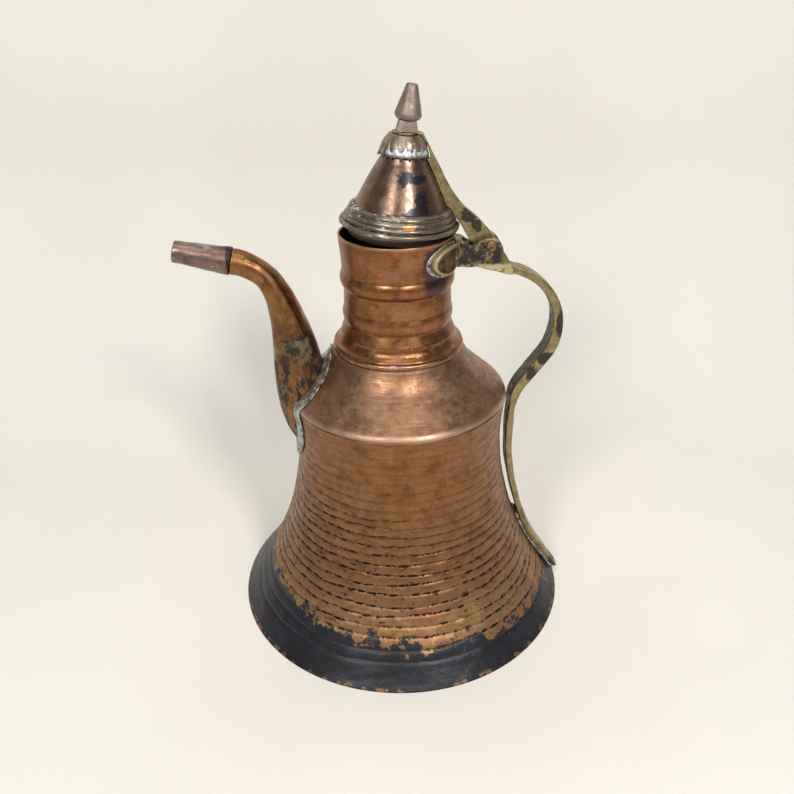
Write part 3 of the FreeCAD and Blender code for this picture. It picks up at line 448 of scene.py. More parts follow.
def bell_material():
    paint = Paint("bell_copper")
    colour = copper_base(paint)
    low = paint.ramp(paint.z, 62 * MM, 24 * MM)
    colour = paint.lay(colour, COPPER_MATTE, low, 0.55)
    groove = paint.mask("groove")
    shade = paint.mask("shade")
    # Painted shade along the hammered grooves.
    colour = paint.lay(colour, UMBER, shade, 0.55)
    toward_spout = paint.math("ADD", paint.z, paint.math("MULTIPLY", paint.x, 0.35))
    lower = paint.ramp(toward_spout, 108 * MM, 58 * MM)
    dash = paint.both(groove, paint.patches(5 * MM, 0.42, 0.50, detail=5, rough=0.7, shift=5.0))
    dash = paint.ramp(dash, 0.25, 0.5)
    colour = paint.blend(colour, SOOT, paint.both(paint.both(dash, lower), 0.95))
    pits = paint.patches(2.8 * MM, 0.585, 0.625, detail=6, rough=0.72, stretch=(2.2, 2.2, 1), shift=9.0)
    colour = paint.blend(colour, SOOT, paint.both(paint.both(pits, lower), 0.85))
    # Yellow-green patches in a band above the soot.
    band = paint.both(paint.ramp(paint.z, 12 * MM, 20 * MM), paint.ramp(paint.z, 46 * MM, 27 * MM))
    gold = paint.both(paint.patches(7 * MM, 0.48, 0.60, detail=8, rough=0.75, shift=2.0), band)
    colour = paint.lay(colour, GOLD, gold, 0.6)
    streak = scratch_lines(paint, 9, 0.9 * MM, 0.60, 0.74, shift=4.4)
    colour = paint.lay(colour, COPPER_BRIGHT, streak, 0.30)
    # Soot climbs from the foot, higher on the spout's side.
    climb = paint.math("ADD", paint.z, paint.math("MULTIPLY", paint.x, 0.09))
    torn = paint.math("MULTIPLY", paint.noise(11 * MM, detail=9, rough=0.74, shift=6.0), 44 * MM)
    edge = paint.math("SUBTRACT", climb, torn)
    soot = paint.ramp(edge, -0.4 * MM, -1.8 * MM)
    chips = paint.patches(4 * MM, 0.655, 0.68, detail=8, rough=0.75, shift=11.0)
    nicks = scratch_lines(paint, 14, 1.1 * MM, 0.735, 0.76, shift=8.0)
    bare = paint.either(chips, paint.both(nicks, 0.5))
    soot = paint.both(soot, paint.math("SUBTRACT", 1.0, bare))
    foot = paint.patches(6 * MM, 0.52, 0.58, detail=6, shift=3.0)
    foot = paint.both(paint.ramp(paint.z, 2.6 * MM, 0.8 * MM), foot)
    soot = paint.both(soot, paint.math("SUBTRACT", 1.0, paint.both(foot, 0.8)))
    soot_tone = paint.blend(SOOT, SOOT_BLUE, paint.patches(14 * MM, 0.40, 0.65, shift=2.5))
    haze = paint.patches(3 * MM, 0.50, 0.75, detail=6, rough=0.7, shift=4.5)
    soot_tone = paint.blend(soot_tone, (0.045, 0.042, 0.048), paint.both(haze, 0.45))
    colour = paint.blend(colour, soot_tone, soot)
    rough = uneven(paint, 0.34, 0.52, 5 * MM)
    rough = paint.number(rough, 0.55, paint.both(low, 0.7))
    rough = paint.number(rough, 0.42, soot)
    metal = paint.number(0.95, 0.25, soot)
    normal = paint.bump(paint.noise(0.9 * MM, detail=5), 0.07 * MM)
    normal = paint.bump(paint.noise(4 * MM, detail=5, stretch=(1.5, 1.5, 1)), 0.3 * MM, normal)
    normal = paint.bump(soot, 0.06 * MM, normal)
    return paint.done(colour, rough, metal, normal)


def shoulder_material():
    paint = Paint("shoulder_copper")
    colour = copper_base(paint, (0.30, 0.165, 0.095), (0.185, 0.088, 0.042), (0.41, 0.27, 0.19))
    level = scratch_lines(paint, 16, 0.6 * MM, 0.52, 0.70, shift=2.0)
    colour = paint.lay(colour, (0.50, 0.36, 0.28), level, 0.3)
    dark = paint.patches(5 * MM, 0.60, 0.72, detail=6, rough=0.7, shift=4.0)
    colour = paint.lay(colour, UMBER, dark, 0.7)
    # Painted highlight: a pale band along the crease at the foot of the shoulder.
    crease_highlight = paint.both(paint.ramp(paint.z, 148 * MM, 145.2 * MM), 0.6)
    colour = paint.blend(colour, (0.72, 0.50, 0.38), crease_highlight)
    specks = paint.patches(2.4 * MM, 0.735, 0.75, detail=2, shift=6.0)
    colour = paint.blend(colour, TIN, specks)
    rough = uneven(paint, 0.38, 0.55, 5 * MM)
    normal = paint.bump(paint.noise(0.7 * MM, detail=3, stretch=(6, 6, 1)), 0.05 * MM)
    return paint.done(colour, rough, 0.97, normal)


def neck_material():
    paint = Paint("neck_copper")
    colour = copper_base(paint, (0.275, 0.118, 0.045), (0.14, 0.052, 0.018), (0.36, 0.19, 0.095))
    level = scratch_lines(paint, 12, 0.7 * MM, 0.55, 0.72, shift=2.0)
    colour = paint.lay(colour, (0.48, 0.29, 0.165), level, 0.3)
    low = paint.ramp(paint.z, 199 * MM, 180 * MM)
    green = paint.both(paint.patches(4 * MM, 0.56, 0.66, detail=6, rough=0.7, shift=8.0), low)
    colour = paint.lay(colour, (0.36, 0.33, 0.16), green, 0.8)
    rosy = paint.both(paint.patches(11 * MM, 0.50, 0.62, shift=5.0), 0.5)
    colour = paint.blend(colour, (0.36, 0.16, 0.105), rosy)
    streak = paint.near((0.020, -0.025, 0.226), 13 * MM, 0.5, 5 * MM, (0.8, 0.8, 1.2), 2.0)
    colour = paint.lay(colour, (0.07, 0.045, 0.06), streak, 0.85)
    rim = paint.both(paint.ramp(paint.z, 239.6 * MM, 241 * MM), 0.5)
    colour = paint.blend(colour, (0.50, 0.32, 0.20), rim)
    rough = uneven(paint, 0.29, 0.46, 5 * MM)
    normal = paint.bump(paint.noise(0.8 * MM, detail=3, stretch=(5, 5, 1)), 0.05 * MM)
    return paint.done(colour, rough, 0.97, normal)


def ring_material():
    paint = Paint("ring_copper")
    colour = copper_base(paint, (0.42, 0.23, 0.125), (0.25, 0.12, 0.06), (0.52, 0.33, 0.21))
    below = paint.ramp(paint.z, 174.6 * MM, 173.9 * MM)
    grime = paint.either(below, paint.ramp(paint.z, 176.6 * MM, 177.3 * MM))
    colour = paint.lay(colour, UMBER, grime, 0.8)
    tin = paint.patches(5 * MM, 0.62, 0.68, detail=4, shift=4.0)
    colour = paint.lay(colour, TIN, tin, 0.7)
    rough = uneven(paint, 0.28, 0.45, 4 * MM)
    return paint.done(colour, rough, 0.97, paint.bump(paint.noise(1.2 * MM), 0.06 * MM))


def spout_material():
    paint = Paint("spout_copper")
    colour = copper_base(paint, (0.275, 0.128, 0.048), (0.15, 0.064, 0.024), (0.38, 0.215, 0.115))
    seam = paint.mask("seam")
    colour = paint.lay(colour, UMBER, seam, 0.9)
    root = paint.ramp(paint.z, 194 * MM, 164 * MM)
    black = paint.patches(6 * MM, 0.46, 0.54, detail=8, rough=0.74, stretch=(1, 1, 2), shift=3.0)
    black = paint.both(black, root)
    burnt = paint.near((-0.050, -0.012, 0.180), 13 * MM, 0.5, 6 * MM, (1.2, 0.8, 0.6), 5.0)
    black = paint.either(black, burnt)
    colour = paint.lay(colour, SOOT, black, 0.92)
    gold = paint.patches(9 * MM, 0.54, 0.70, detail=6, shift=6.0)
    colour = paint.lay(colour, OLIVE, gold, 0.6)
    rough = uneven(paint, 0.30, 0.47, 5 * MM)
    rough = paint.number(rough, 0.6, black)
    metal = paint.number(0.97, 0.5, black)
    normal = paint.bump(paint.noise(1.0 * MM, detail=4), 0.06 * MM)
    return paint.done(colour, rough, metal, normal)


def sleeve_material():
    paint = Paint("sleeve_copper")
    colour = copper_base(paint, (0.24, 0.155, 0.135), (0.13, 0.075, 0.06), (0.40, 0.31, 0.28))
    silver = paint.patches(4 * MM, 0.55, 0.66, detail=6, rough=0.7, stretch=(3, 1, 1), shift=4.0)
    colour = paint.lay(colour, TIN, silver, 0.6)
    joint = paint.both(paint.ramp(paint.x, -94.2 * MM, -92.8 * MM), 0.85)
    colour = paint.blend(colour, SOOT, joint)
    rough = uneven(paint, 0.34, 0.52, 4 * MM)
    return paint.done(colour, rough, 0.95, paint.bump(paint.noise(0.9 * MM), 0.06 * MM))


def solder_material():
    paint = Paint("solder")
    colour = paint.blend(TIN, (0.22, 0.21, 0.20), paint.patches(5 * MM, 0.42, 0.60, detail=6, rough=0.7))
    brown = paint.patches(4 * MM, 0.53, 0.66, detail=6, shift=3.0)
    colour = paint.lay(colour, UMBER, brown, 0.85)
    colour = paint.blend(colour, COPPER, paint.both(paint.patches(7 * MM, 0.58, 0.70, shift=6.0), 0.7))
    rough = paint.number(0.38, 0.60, paint.patches(3 * MM, 0.4, 0.7, shift=1.0))
    return paint.done(colour, rough, 0.9, paint.bump(paint.noise(1.4 * MM, detail=5), 0.25 * MM))


def hinge_material():
    paint = Paint("hinge_brass")
    dull = paint.patches(6 * MM, 0.40, 0.64, detail=7, rough=0.68)
    colour = paint.blend((0.30, 0.24, 0.115), (0.17, 0.125, 0.055), dull)
    # Worn high edges are golden; the casting's hollows are black.
    black = paint.patches(6 * MM, 0.43, 0.48, detail=8, rough=0.74, shift=2.2)
    strap_end = paint.ramp(paint.x, 60 * MM, 56 * MM)
    top = paint.ramp(paint.z, 236.6 * MM, 235.2 * MM)
    black = paint.both(paint.both(black, strap_end), top)
    colour = paint.lay(colour, SOOT, black, 0.93)
    beyond_neck = paint.ramp(paint.x, 33 * MM, 36 * MM)
    under = paint.both(paint.ramp(paint.z, 224.6 * MM, 222.4 * MM), beyond_neck)
    cream = paint.both(under, paint.patches(4 * MM, 0.40, 0.50, detail=5, shift=5.0))
    colour = paint.lay(colour, CREAM, cream, 0.85)
    dish = paint.mask("dish")
    brown = paint.blend((0.13, 0.075, 0.03), UMBER, paint.patches(3 * MM, 0.42, 0.6, shift=7.0))
    colour = paint.blend(colour, brown, dish)
    lip = paint.mask("lip")
    colour = paint.lay(colour, (0.50, 0.40, 0.20), lip, 0.9)
    rough = uneven(paint, 0.36, 0.55, 4 * MM)
    metal = paint.number(0.95, 0.45, black)
    normal = paint.bump(paint.noise(1.1 * MM, detail=5), 0.14 * MM)
    return paint.done(colour, rough, metal, normal)


def pin_material():
    paint = Paint("pin_copper")
    colour = paint.blend((0.30, 0.17, 0.11), UMBER, paint.patches(2 * MM, 0.45, 0.62))
    rough = paint.number(0.34, 0.5, paint.patches(1.5 * MM, 0.4, 0.7, shift=1.0))
    return paint.done(colour, rough, 0.95, paint.bump(paint.noise(0.7 * MM), 0.1 * MM))


def strap_brass(name, black_places):
    """Brass with an olive patina, black in patches, and painted dark on the inner face as painted shade
    with some patina.
    """
    paint = Paint(name)
    dull = paint.patches(7 * MM, 0.42, 0.64, detail=7, rough=0.68)
    colour = paint.blend((0.35, 0.285, 0.145), (0.22, 0.17, 0.08), dull)
    worn = paint.patches(8 * MM, 0.54, 0.74, detail=8, rough=0.72, shift=4.0)
    colour = paint.blend(colour, (0.50, 0.42, 0.25), worn)
    speck = paint.patches(1.3 * MM, 0.62, 0.72, detail=3, shift=8.0)
    colour = paint.lay(colour, UMBER, speck, 0.7)
    dark = None
    for place, reach, stretch in black_places:
        spot = paint.near(place, reach * 0.85, 0.6, 4 * MM, stretch, place[2] * 9)
        dark = spot if dark is None else paint.either(dark, spot)
    # Painted shade on the inner faces, broken up by patches.
    inner = paint.both(paint.mask("inner"), paint.patches(9 * MM, 0.30, 0.44, detail=6, shift=3.3))
    dark = inner if dark is None else paint.either(dark, inner)
    colour = paint.lay(colour, (0.018, 0.015, 0.014), dark, 0.93)
    rough = uneven(paint, 0.34, 0.52, 4 * MM)
    metal = paint.number(0.95, 0.5, dark)
    normal = paint.bump(paint.noise(1.0 * MM, detail=5), 0.08 * MM)
    return paint.done(colour, rough, metal, normal)


def cone_material():
    paint = Paint("lid_copper")
    colour = copper_base(paint, (0.20, 0.125, 0.092), (0.125, 0.072, 0.05), (0.28, 0.20, 0.165))
    upright = scratch_lines(paint, 14, 0.9 * MM, 0.54, 0.70, shift=3.0, upright=True)
    colour = paint.lay(colour, (0.38, 0.30, 0.27), upright, 0.25)
    brown = paint.both(paint.ramp(paint.x, -6 * MM, -22 * MM), 0.5)
    colour = paint.blend(colour, (0.27, 0.16, 0.09), brown)
    stains = (
        ((0.0125, -0.021, 0.2610), 7.2 * MM, (0.55, 1.0, 1.1), 1.0),
        ((0.0085, -0.023, 0.2555), 5.2 * MM, (1.2, 1.0, 0.8), 4.0),
        ((0.0040, -0.0165, 0.2735), 4.6 * MM, (1.0, 1.0, 0.9), 7.0),
        ((0.0110, -0.0150, 0.2725), 4.2 * MM, (1.5, 1.0, 0.5), 9.0),
        ((0.0020, -0.0270, 0.2525), 6.0 * MM, (2.2, 1.0, 0.32), 12.0),
    )
    stain = None
    for place, reach, stretch, shift in stains:
        spot = paint.near(place, reach, 0.5, 4 * MM, stretch, shift)
        stain = spot if stain is None else paint.either(stain, spot)
    colour = paint.lay(colour, STAIN, stain, 0.95)
    rough = uneven(paint, 0.26, 0.42, 5 * MM)
    metal = paint.number(0.97, 0.6, stain)
    normal = paint.bump(paint.noise(1.2 * MM, detail=3, stretch=(1, 1, 5)), 0.05 * MM)
    return paint.done(colour, rough, metal, normal)


def moulding_material():
    paint = Paint("moulding_copper")
    colour = copper_base(paint, (0.235, 0.195, 0.145), (0.14, 0.105, 0.072), (0.32, 0.285, 0.24))
    hollow = paint.mask("hollow")
    dust = paint.patches(2.4 * MM, 0.42, 0.60, detail=6, rough=0.7, stretch=(2, 2, 1), shift=9.0)
    grime = paint.both(hollow, paint.number(0.97, 0.55, dust))
    colour = paint.blend(colour, (0.018, 0.016, 0.015), grime)
    tin = paint.patches(3.0 * MM, 0.55, 0.60, detail=7, rough=0.75, stretch=(2.5, 2.5, 1), shift=4.0)
    side = paint.ramp(paint.x, 10 * MM, -14 * MM)
    colour = paint.blend(colour, (0.66, 0.68, 0.68), paint.both(paint.both(tin, side), 0.85))
    spot = paint.near((0.0045, -0.0275, 0.2510), 2.6 * MM, 0.4, 2 * MM, (1.8, 1, 0.7), 2.0)
    colour = paint.blend(colour, (0.62, 0.28, 0.10), spot)
    rough = uneven(paint, 0.30, 0.48, 4 * MM)
    normal = paint.bump(paint.noise(1.0 * MM, detail=4, stretch=(3, 3, 1)), 0.08 * MM)
    return paint.done(colour, rough, 0.95, normal)


def cap_material():
    paint = Paint("cap_copper")
    colour = copper_base(paint, (0.29, 0.225, 0.175), (0.18, 0.125, 0.085), (0.38, 0.32, 0.27))
    edge = paint.mask("tip")
    colour = paint.lay(colour, (0.030, 0.020, 0.018), edge, 0.85)
    bright = paint.patches(3.5 * MM, 0.62, 0.70, detail=4, shift=6.0)
    colour = paint.lay(colour, (0.5, 0.46, 0.42), bright, 0.5)
    rough = uneven(paint, 0.33, 0.52, 4 * MM)
    return paint.done(colour, rough, 0.95, paint.bump(paint.noise(1.0 * MM, detail=4), 0.08 * MM))


def cap_solder_material():
    paint = Paint("cap_solder")
    dull = paint.patches(2.5 * MM, 0.45, 0.62, detail=5)
    colour = paint.blend((0.62, 0.69, 0.72), (0.30, 0.34, 0.36), dull)
    # The lid leans, so its own level is height plus a share of x.
    level = paint.math("ADD", paint.z, paint.math("MULTIPLY", paint.x, LID_SLOPE))
    grime = paint.ramp(level, 285.4 * MM, 283.6 * MM)
    colour = paint.lay(colour, (0.085, 0.062, 0.052), grime, 0.92)
    rough = paint.number(0.35, 0.55, paint.patches(2 * MM, 0.4, 0.7, shift=1.0))
    return paint.done(colour, rough, 0.55, paint.bump(paint.noise(0.9 * MM, detail=4), 0.15 * MM))


def finial_material():
    paint = Paint("finial_copper")
    colour = copper_base(paint, (0.27, 0.215, 0.185), (0.19, 0.135, 0.11), (0.34, 0.28, 0.25))
    pits = paint.patches(1.8 * MM, 0.62, 0.70, detail=5, shift=5.0)
    colour = paint.lay(colour, UMBER, pits, 0.8)
    rough = uneven(paint, 0.46, 0.62, 4 * MM)
    return paint.done(colour, rough, 0.8, paint.bump(paint.noise(0.9 * MM, detail=5), 0.1 * MM))


def plate_material():
    paint = Paint("plate_copper")
    colour = copper_base(paint, (0.25, 0.14, 0.085), (0.12, 0.06, 0.035), COPPER)
    soot = paint.patches(22 * MM, 0.40, 0.55, detail=7, rough=0.65, shift=2.0)
    colour = paint.lay(colour, SOOT, soot, 0.93)
    rough = paint.number(0.42, 0.6, soot)
    metal = paint.number(0.95, 0.35, soot)
    return paint.done(colour, rough, metal, paint.bump(paint.noise(3 * MM), 0.2 * MM))


# ------------------------------------------------------------------- bell

GROOVE_PITCH = 5.7 * MM
GROOVE_FIRST = 13 * MM
GROOVE_LAST = 139 * MM


def hammer(points, is_outer):
    """Level rows of hammer blows up the bell. Each row wanders a little, and
    each blow in it has its own depth. The same map colours the blows dark."""
    draw = np.random.default_rng(11)
    turn = np.arctan2(points[:, 1], points[:, 0])
    depth = np.zeros(len(points))
    mark = np.zeros(len(points))
    shade = np.zeros(len(points))
    rows = int((GROOVE_LAST - GROOVE_FIRST) / GROOVE_PITCH) + 1
    for row in range(rows):
        level = GROOVE_FIRST + row * GROOVE_PITCH + draw.uniform(-0.35, 0.35) * MM
        sway = draw.uniform(0.25, 0.6) * MM * np.sin(turn * draw.integers(2, 5) + draw.uniform(0, 6))
        sway += draw.uniform(0.1, 0.3) * MM * np.sin(turn * draw.integers(7, 13) + draw.uniform(0, 6))
        blows = int(2 * math.pi * 80 * MM / (draw.uniform(6.5, 8.5) * MM))
        strength = draw.uniform(0.25, 1.0, blows)
        jitter = draw.uniform(-0.45, 0.45, blows) * MM
        spot = (turn / (2 * math.pi) + 0.5 + draw.uniform(0, 1)) % 1.0 * blows
        cell = spot.astype(int) % blows
        within = np.abs(np.sin(math.pi * (spot - np.floor(spot)))) ** 0.45
        away = (points[:, 2] - level - sway - jitter[cell] * 0.5) / MM
        cut = np.exp(-np.abs(away) ** 1.3 / 0.62)
        deep = 0.4 + 0.6 * min(max((125 * MM - level) / (60 * MM), 0.0), 1.0)
        depth += cut * (0.30 + (0.10 + 0.36 * strength[cell]) * within) * deep * MM
        # Painted shade: a dark line along each groove, weaker near the top.
        shade = np.maximum(shade, np.exp(-(away / 0.42) ** 2) * (0.35 + 0.65 * within) * deep)
        mark = np.maximum(mark, np.exp(-(away / 0.72) ** 2) * within * (strength[cell] > 0.3))
    depth += (waves(points, 30 * MM, 5) + 1) * 0.18 * MM
    depth += (waves(points * (1, 1, 1.3), 8 * MM, 6) + 1) * 0.075 * MM
    fade = np.clip(points[:, 2] / (3 * MM), 0, 1) * np.clip((143.6 * MM - points[:, 2]) / (2 * MM), 0, 1)
    move = np.where(is_outer, -depth * fade, -depth * fade * 0.8)
    return drawn_in(points, move), {"groove": mark * is_outer, "shade": shade * is_outer}


def spout_hole_test():
    """A cell is open if it lies well inside the spout's bore, where the CAD bell
    has its own hole: a level ray from the axis passes through the CAD sheet."""
    trees = [bvh_of("body_bell"), bvh_of("shoulder")]

    def is_open(point):
        centre = Vector((0, 0, point[2]))
        way = Vector((point[0], point[1], 0)).normalized()
        reach = math.hypot(point[0], point[1]) + 3 * MM
        for swing in (-0.03, 0.0, 0.03):
            aim = Matrix.Rotation(swing, 3, "Z") @ way
            for rise in (-1.2 * MM, 1.2 * MM):
                start = centre + Vector((0, 0, rise))
                for tree in trees:
                    if tree.ray_cast(start, aim, reach)[0] is not None:
                        return False
        return True

    return lambda point: point[0] < -20 * MM and is_open(point)


def dented(seed, depth, size):
    """A change for shell: gentle unevenness, inward only, so that nothing grows
    past the CAD."""
    def change(points, is_outer):
        return drawn_in(points, -(waves(points, size, seed) + 1.4) * depth * 0.5), {}
    return change


def repaint(node, material):
    """A CAD node that is shown as it is takes a procedural material."""
    NODES[node].data.materials.clear()
    NODES[node].data.materials.append(material)


def build_body():
    is_hole = spout_hole_test()
    bell = shell("bell", "body_bell", CLEAR_SIDE, 0.5 * MM, 520, change=hammer, hole=is_hole)
    finish_piece(bell, "body_bell", "vessel", bell_material())
    shoulder = shell("shoulder_dome", "shoulder", CLEAR_SIDE, 0.55 * MM, 360,
                     change=dented(21, 0.35 * MM, 26 * MM), hole=is_hole)
    finish_piece(shoulder, "shoulder", "vessel", shoulder_material())
    neck = shell("neck_tube", "neck", CLEAR_SIDE, 0.45 * MM, 300,
                 change=dented(31, 0.22 * MM, 18 * MM))
    finish_piece(neck, "neck", "vessel", neck_material())
    ring = shell("neck_bead", "neck_ring", CLEAR_SIDE, 0.3 * MM, 280,
                 change=dented(35, 0.2 * MM, 12 * MM), margin=0.02 * MM)
    finish_piece(ring, "neck_ring", "vessel", ring_material())
    solder = solder_material()
    repaint("base_plate", plate_material())
    repaint("base_solder", solder)
    return solder


# ------------------------------------------------------------------ spout

def mesh_points(item):
    points = np.empty(len(item.data.vertices) * 3)
    item.data.vertices.foreach_get("co", points)
    return points.reshape(-1, 3)


def set_points(item, points):
    item.data.vertices.foreach_set("co", np.ascontiguousarray(points).reshape(-1))
    item.data.update()


def add_mask(item, name, values):
    layer = item.data.attributes.new(name, "FLOAT", "POINT")
    layer.data.foreach_set("value", np.asarray(values, np.float32))


def normals_of(item):
    normals = np.empty(len(item.data.vertices) * 3)
    item.data.vertices.foreach_get("normal", normals)
    return normals.reshape(-1, 3)


def distance_to_line(points, line):
    """The distance from each point to a line drawn through several places."""
    best = np.full(len(points), 1e9)
    for start, end in zip(line, line[1:]):
        start, end = np.array(start), np.array(end)
        run = end - start
        share = np.clip((points - start) @ run / (run @ run), 0, 1)
        best = np.minimum(best, np.linalg.norm(points - start - share[:, None] * run, axis=1))
    return best


def spout_seam_line():
    """The brazed seam runs along the upper, near side of the spout."""
    tree = bvh_of("spout")
    # The middle of the spout's bore, in millimetres of x and z.
    middle = ((-88, 226), (-80, 222.5), (-75, 217), (-71.5, 209),
              (-68.5, 200), (-65.5, 190), (-62.5, 178), (-60, 168))
    line = []
    for x, z in middle:
        centre = Vector((x * MM, 0, z * MM))
        uphill = Vector((0.62, 0, 0.55)) if z > 215 else Vector((0.85, 0, 0.15))
        way = (uphill + Vector((0, -0.75, 0))).normalized()
        hit = tree.ray_cast(centre + way * 0.05, -way)[0]
        if hit is not None and (hit - centre).length < 0.03:
            line.append(tuple(hit))
    return line


def build_spout(solder):
    spout = remade("spout_horn", "spout", 0.55 * MM, 3, 0.12 * MM, 11 * MM, seed=41)
    points = mesh_points(spout)
    seam = np.exp(-(distance_to_line(points, spout_seam_line()) / (0.9 * MM)) ** 2)
    set_points(spout, points + normals_of(spout) * (seam * 0.35 * MM)[:, None])
    add_mask(spout, "seam", np.clip(seam * 1.3, 0, 1))
    finish_piece(spout, "spout", "vessel", spout_material())

    sleeve = remade("spout_sleeve", "spout_tip", 0.4 * MM, 3, 0.1 * MM, 9 * MM, seed=42)
    finish_piece(sleeve, "spout_tip", "vessel", sleeve_material())

    patch = remade("spout_solder_run", "spout_solder", 0.45 * MM, 4, 0.22 * MM, 7 * MM, seed=43)
    finish_piece(patch, "spout_solder", "vessel", solder)


# --------------------------------------------------------- hinge and handle

# The saddle lobes on the neck: where they sit, and their half sizes.
LOBE_TURN = math.radians(36)
LOBE_RADIUS = 33 * MM
LOBE_HALF_LENGTH = 13 * MM
LOBE_HALF_HEIGHT = 8 * MM
LOBE_DROP = 10.9 * MM


def build_hinge(solder):
    block = remade("hinge_casting", "hinge_block", 0.42 * MM, 3, 0.12 * MM, 6 * MM, seed=51)
    points = mesh_points(block)
    rim_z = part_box("neck")[1].z
    dish = np.zeros(len(points))
    lip = np.zeros(len(points))
    turn = np.arctan2(points[:, 1], points[:, 0])
    for side in (-1, 1):
        along = (turn - side * LOBE_TURN) * LOBE_RADIUS / LOBE_HALF_LENGTH
        up = (points[:, 2] - rim_z + LOBE_DROP) / LOBE_HALF_HEIGHT
        inside = np.hypot(along, up)
        dish = np.maximum(dish, np.clip((0.86 - inside) / 0.08, 0, 1))
        lip = np.maximum(lip, np.exp(-((inside - 0.94) / 0.09) ** 2))
    on_lobe = np.hypot(points[:, 0], points[:, 1]) < 37 * MM
    rough_floor = waves(points, 2.2 * MM, 55) * 0.18 * MM * dish
    set_points(block, points + normals_of(block) * rough_floor[:, None])
    add_mask(block, "dish", dish * on_lobe)
    add_mask(block, "lip", lip * on_lobe)
    finish_piece(block, "hinge_block", "vessel", hinge_material())

    pin = remade("hinge_rivet", "hinge_pin", 0.22 * MM, 3, 0.05 * MM, 2 * MM, seed=52)
    finish_piece(pin, "hinge_pin", "vessel", pin_material())

    run = remade("saddle_solder_run", "saddle_solder", 0.2 * MM, 2, 0.06 * MM, 3 * MM, seed=53)
    finish_piece(run, "saddle_solder", "vessel", solder)


def build_handle(solder):
    strap = remade("handle_strap", "handle", 0.5 * MM, 5, 0.14 * MM, 16 * MM, seed=61)
    normals = normals_of(strap)
    # Faces turned toward the neck: painted shade on the handle's inner face, with some black patina.
    inner = np.clip(-normals[:, 0] * 1.6 - 0.35, 0, 1)
    add_mask(strap, "inner", inner)
    places = (
        ((0.0955, -0.004, 0.186), 7 * MM, (0.6, 1.2, 1.6)),
        ((0.0880, -0.004, 0.163), 6 * MM, (1.2, 1.2, 1.0)),
        ((0.0795, -0.004, 0.152), 5 * MM, (0.8, 1.2, 1.6)),
        ((0.1060, 0.0, 0.0060), 9 * MM, (0.9, 1.2, 1.0)),
        ((0.0800, 0.004, 0.060), 6 * MM, (0.5, 0.8, 1.8)),
    )
    finish_piece(strap, "handle", "vessel", strap_brass("handle_brass", places))

    foot = remade("foot_solder_run", "foot_solder", 0.35 * MM, 4, 0.2 * MM, 6 * MM, seed=62)
    finish_piece(foot, "foot_solder", "vessel", solder)


# -------------------------------------------------------------------- lid

PETALS = 16


def build_lid():
    cone = shell("lid_cone_sheet", "lid_cone", CLEAR_SIDE, 0.5 * MM, 260, LID,
                 dented(71, 0.25 * MM, 16 * MM))
    finish_piece(cone, "lid_cone", "lid", cone_material())
    build_moulding()
    build_cap()
    build_lid_trim()


def build_moulding():
    def crimp(points, is_outer):
        """The ridges are a little wavy, and their hollows are marked dark."""
        radius = np.hypot(points[:, 0], points[:, 1])
        turn = np.arctan2(points[:, 1], points[:, 0])
        low = points[:, 2].min()
        up = points[:, 2] - low
        rows = sorted(set(np.round(up[is_outer], 7)))
        outline = [radius[is_outer & (np.abs(up - row) < 1e-6)].mean() for row in rows]
        span = len(rows)
        ideal = np.convolve(np.pad(outline, 5, mode="edge"), np.ones(11) / 11, mode="valid")[:span]
        drop = np.clip((ideal - np.array(outline)) / (0.28 * MM), 0, 1)
        hollow = np.interp(up, rows, drop) * is_outer
        move = -(waves(points, 9 * MM, 81) + 1.4) * 0.10 * MM * is_outer
        lift = 0.12 * MM * np.sin(turn * 9 + 1.0) * is_outer * np.clip(up / (2 * MM), 0, 1)
        moved = drawn_in(points, move)
        moved[:, 2] += lift * np.clip((up.max() - up) / (2 * MM), 0, 1)
        return moved, {"hollow": hollow}

    moulding = shell("lid_moulding_ring", "lid_moulding", CLEAR_SIDE, 0.16 * MM, 260, LID,
                     crimp, margin=0.02 * MM)
    finish_piece(moulding, "lid_moulding", "lid", moulding_material())


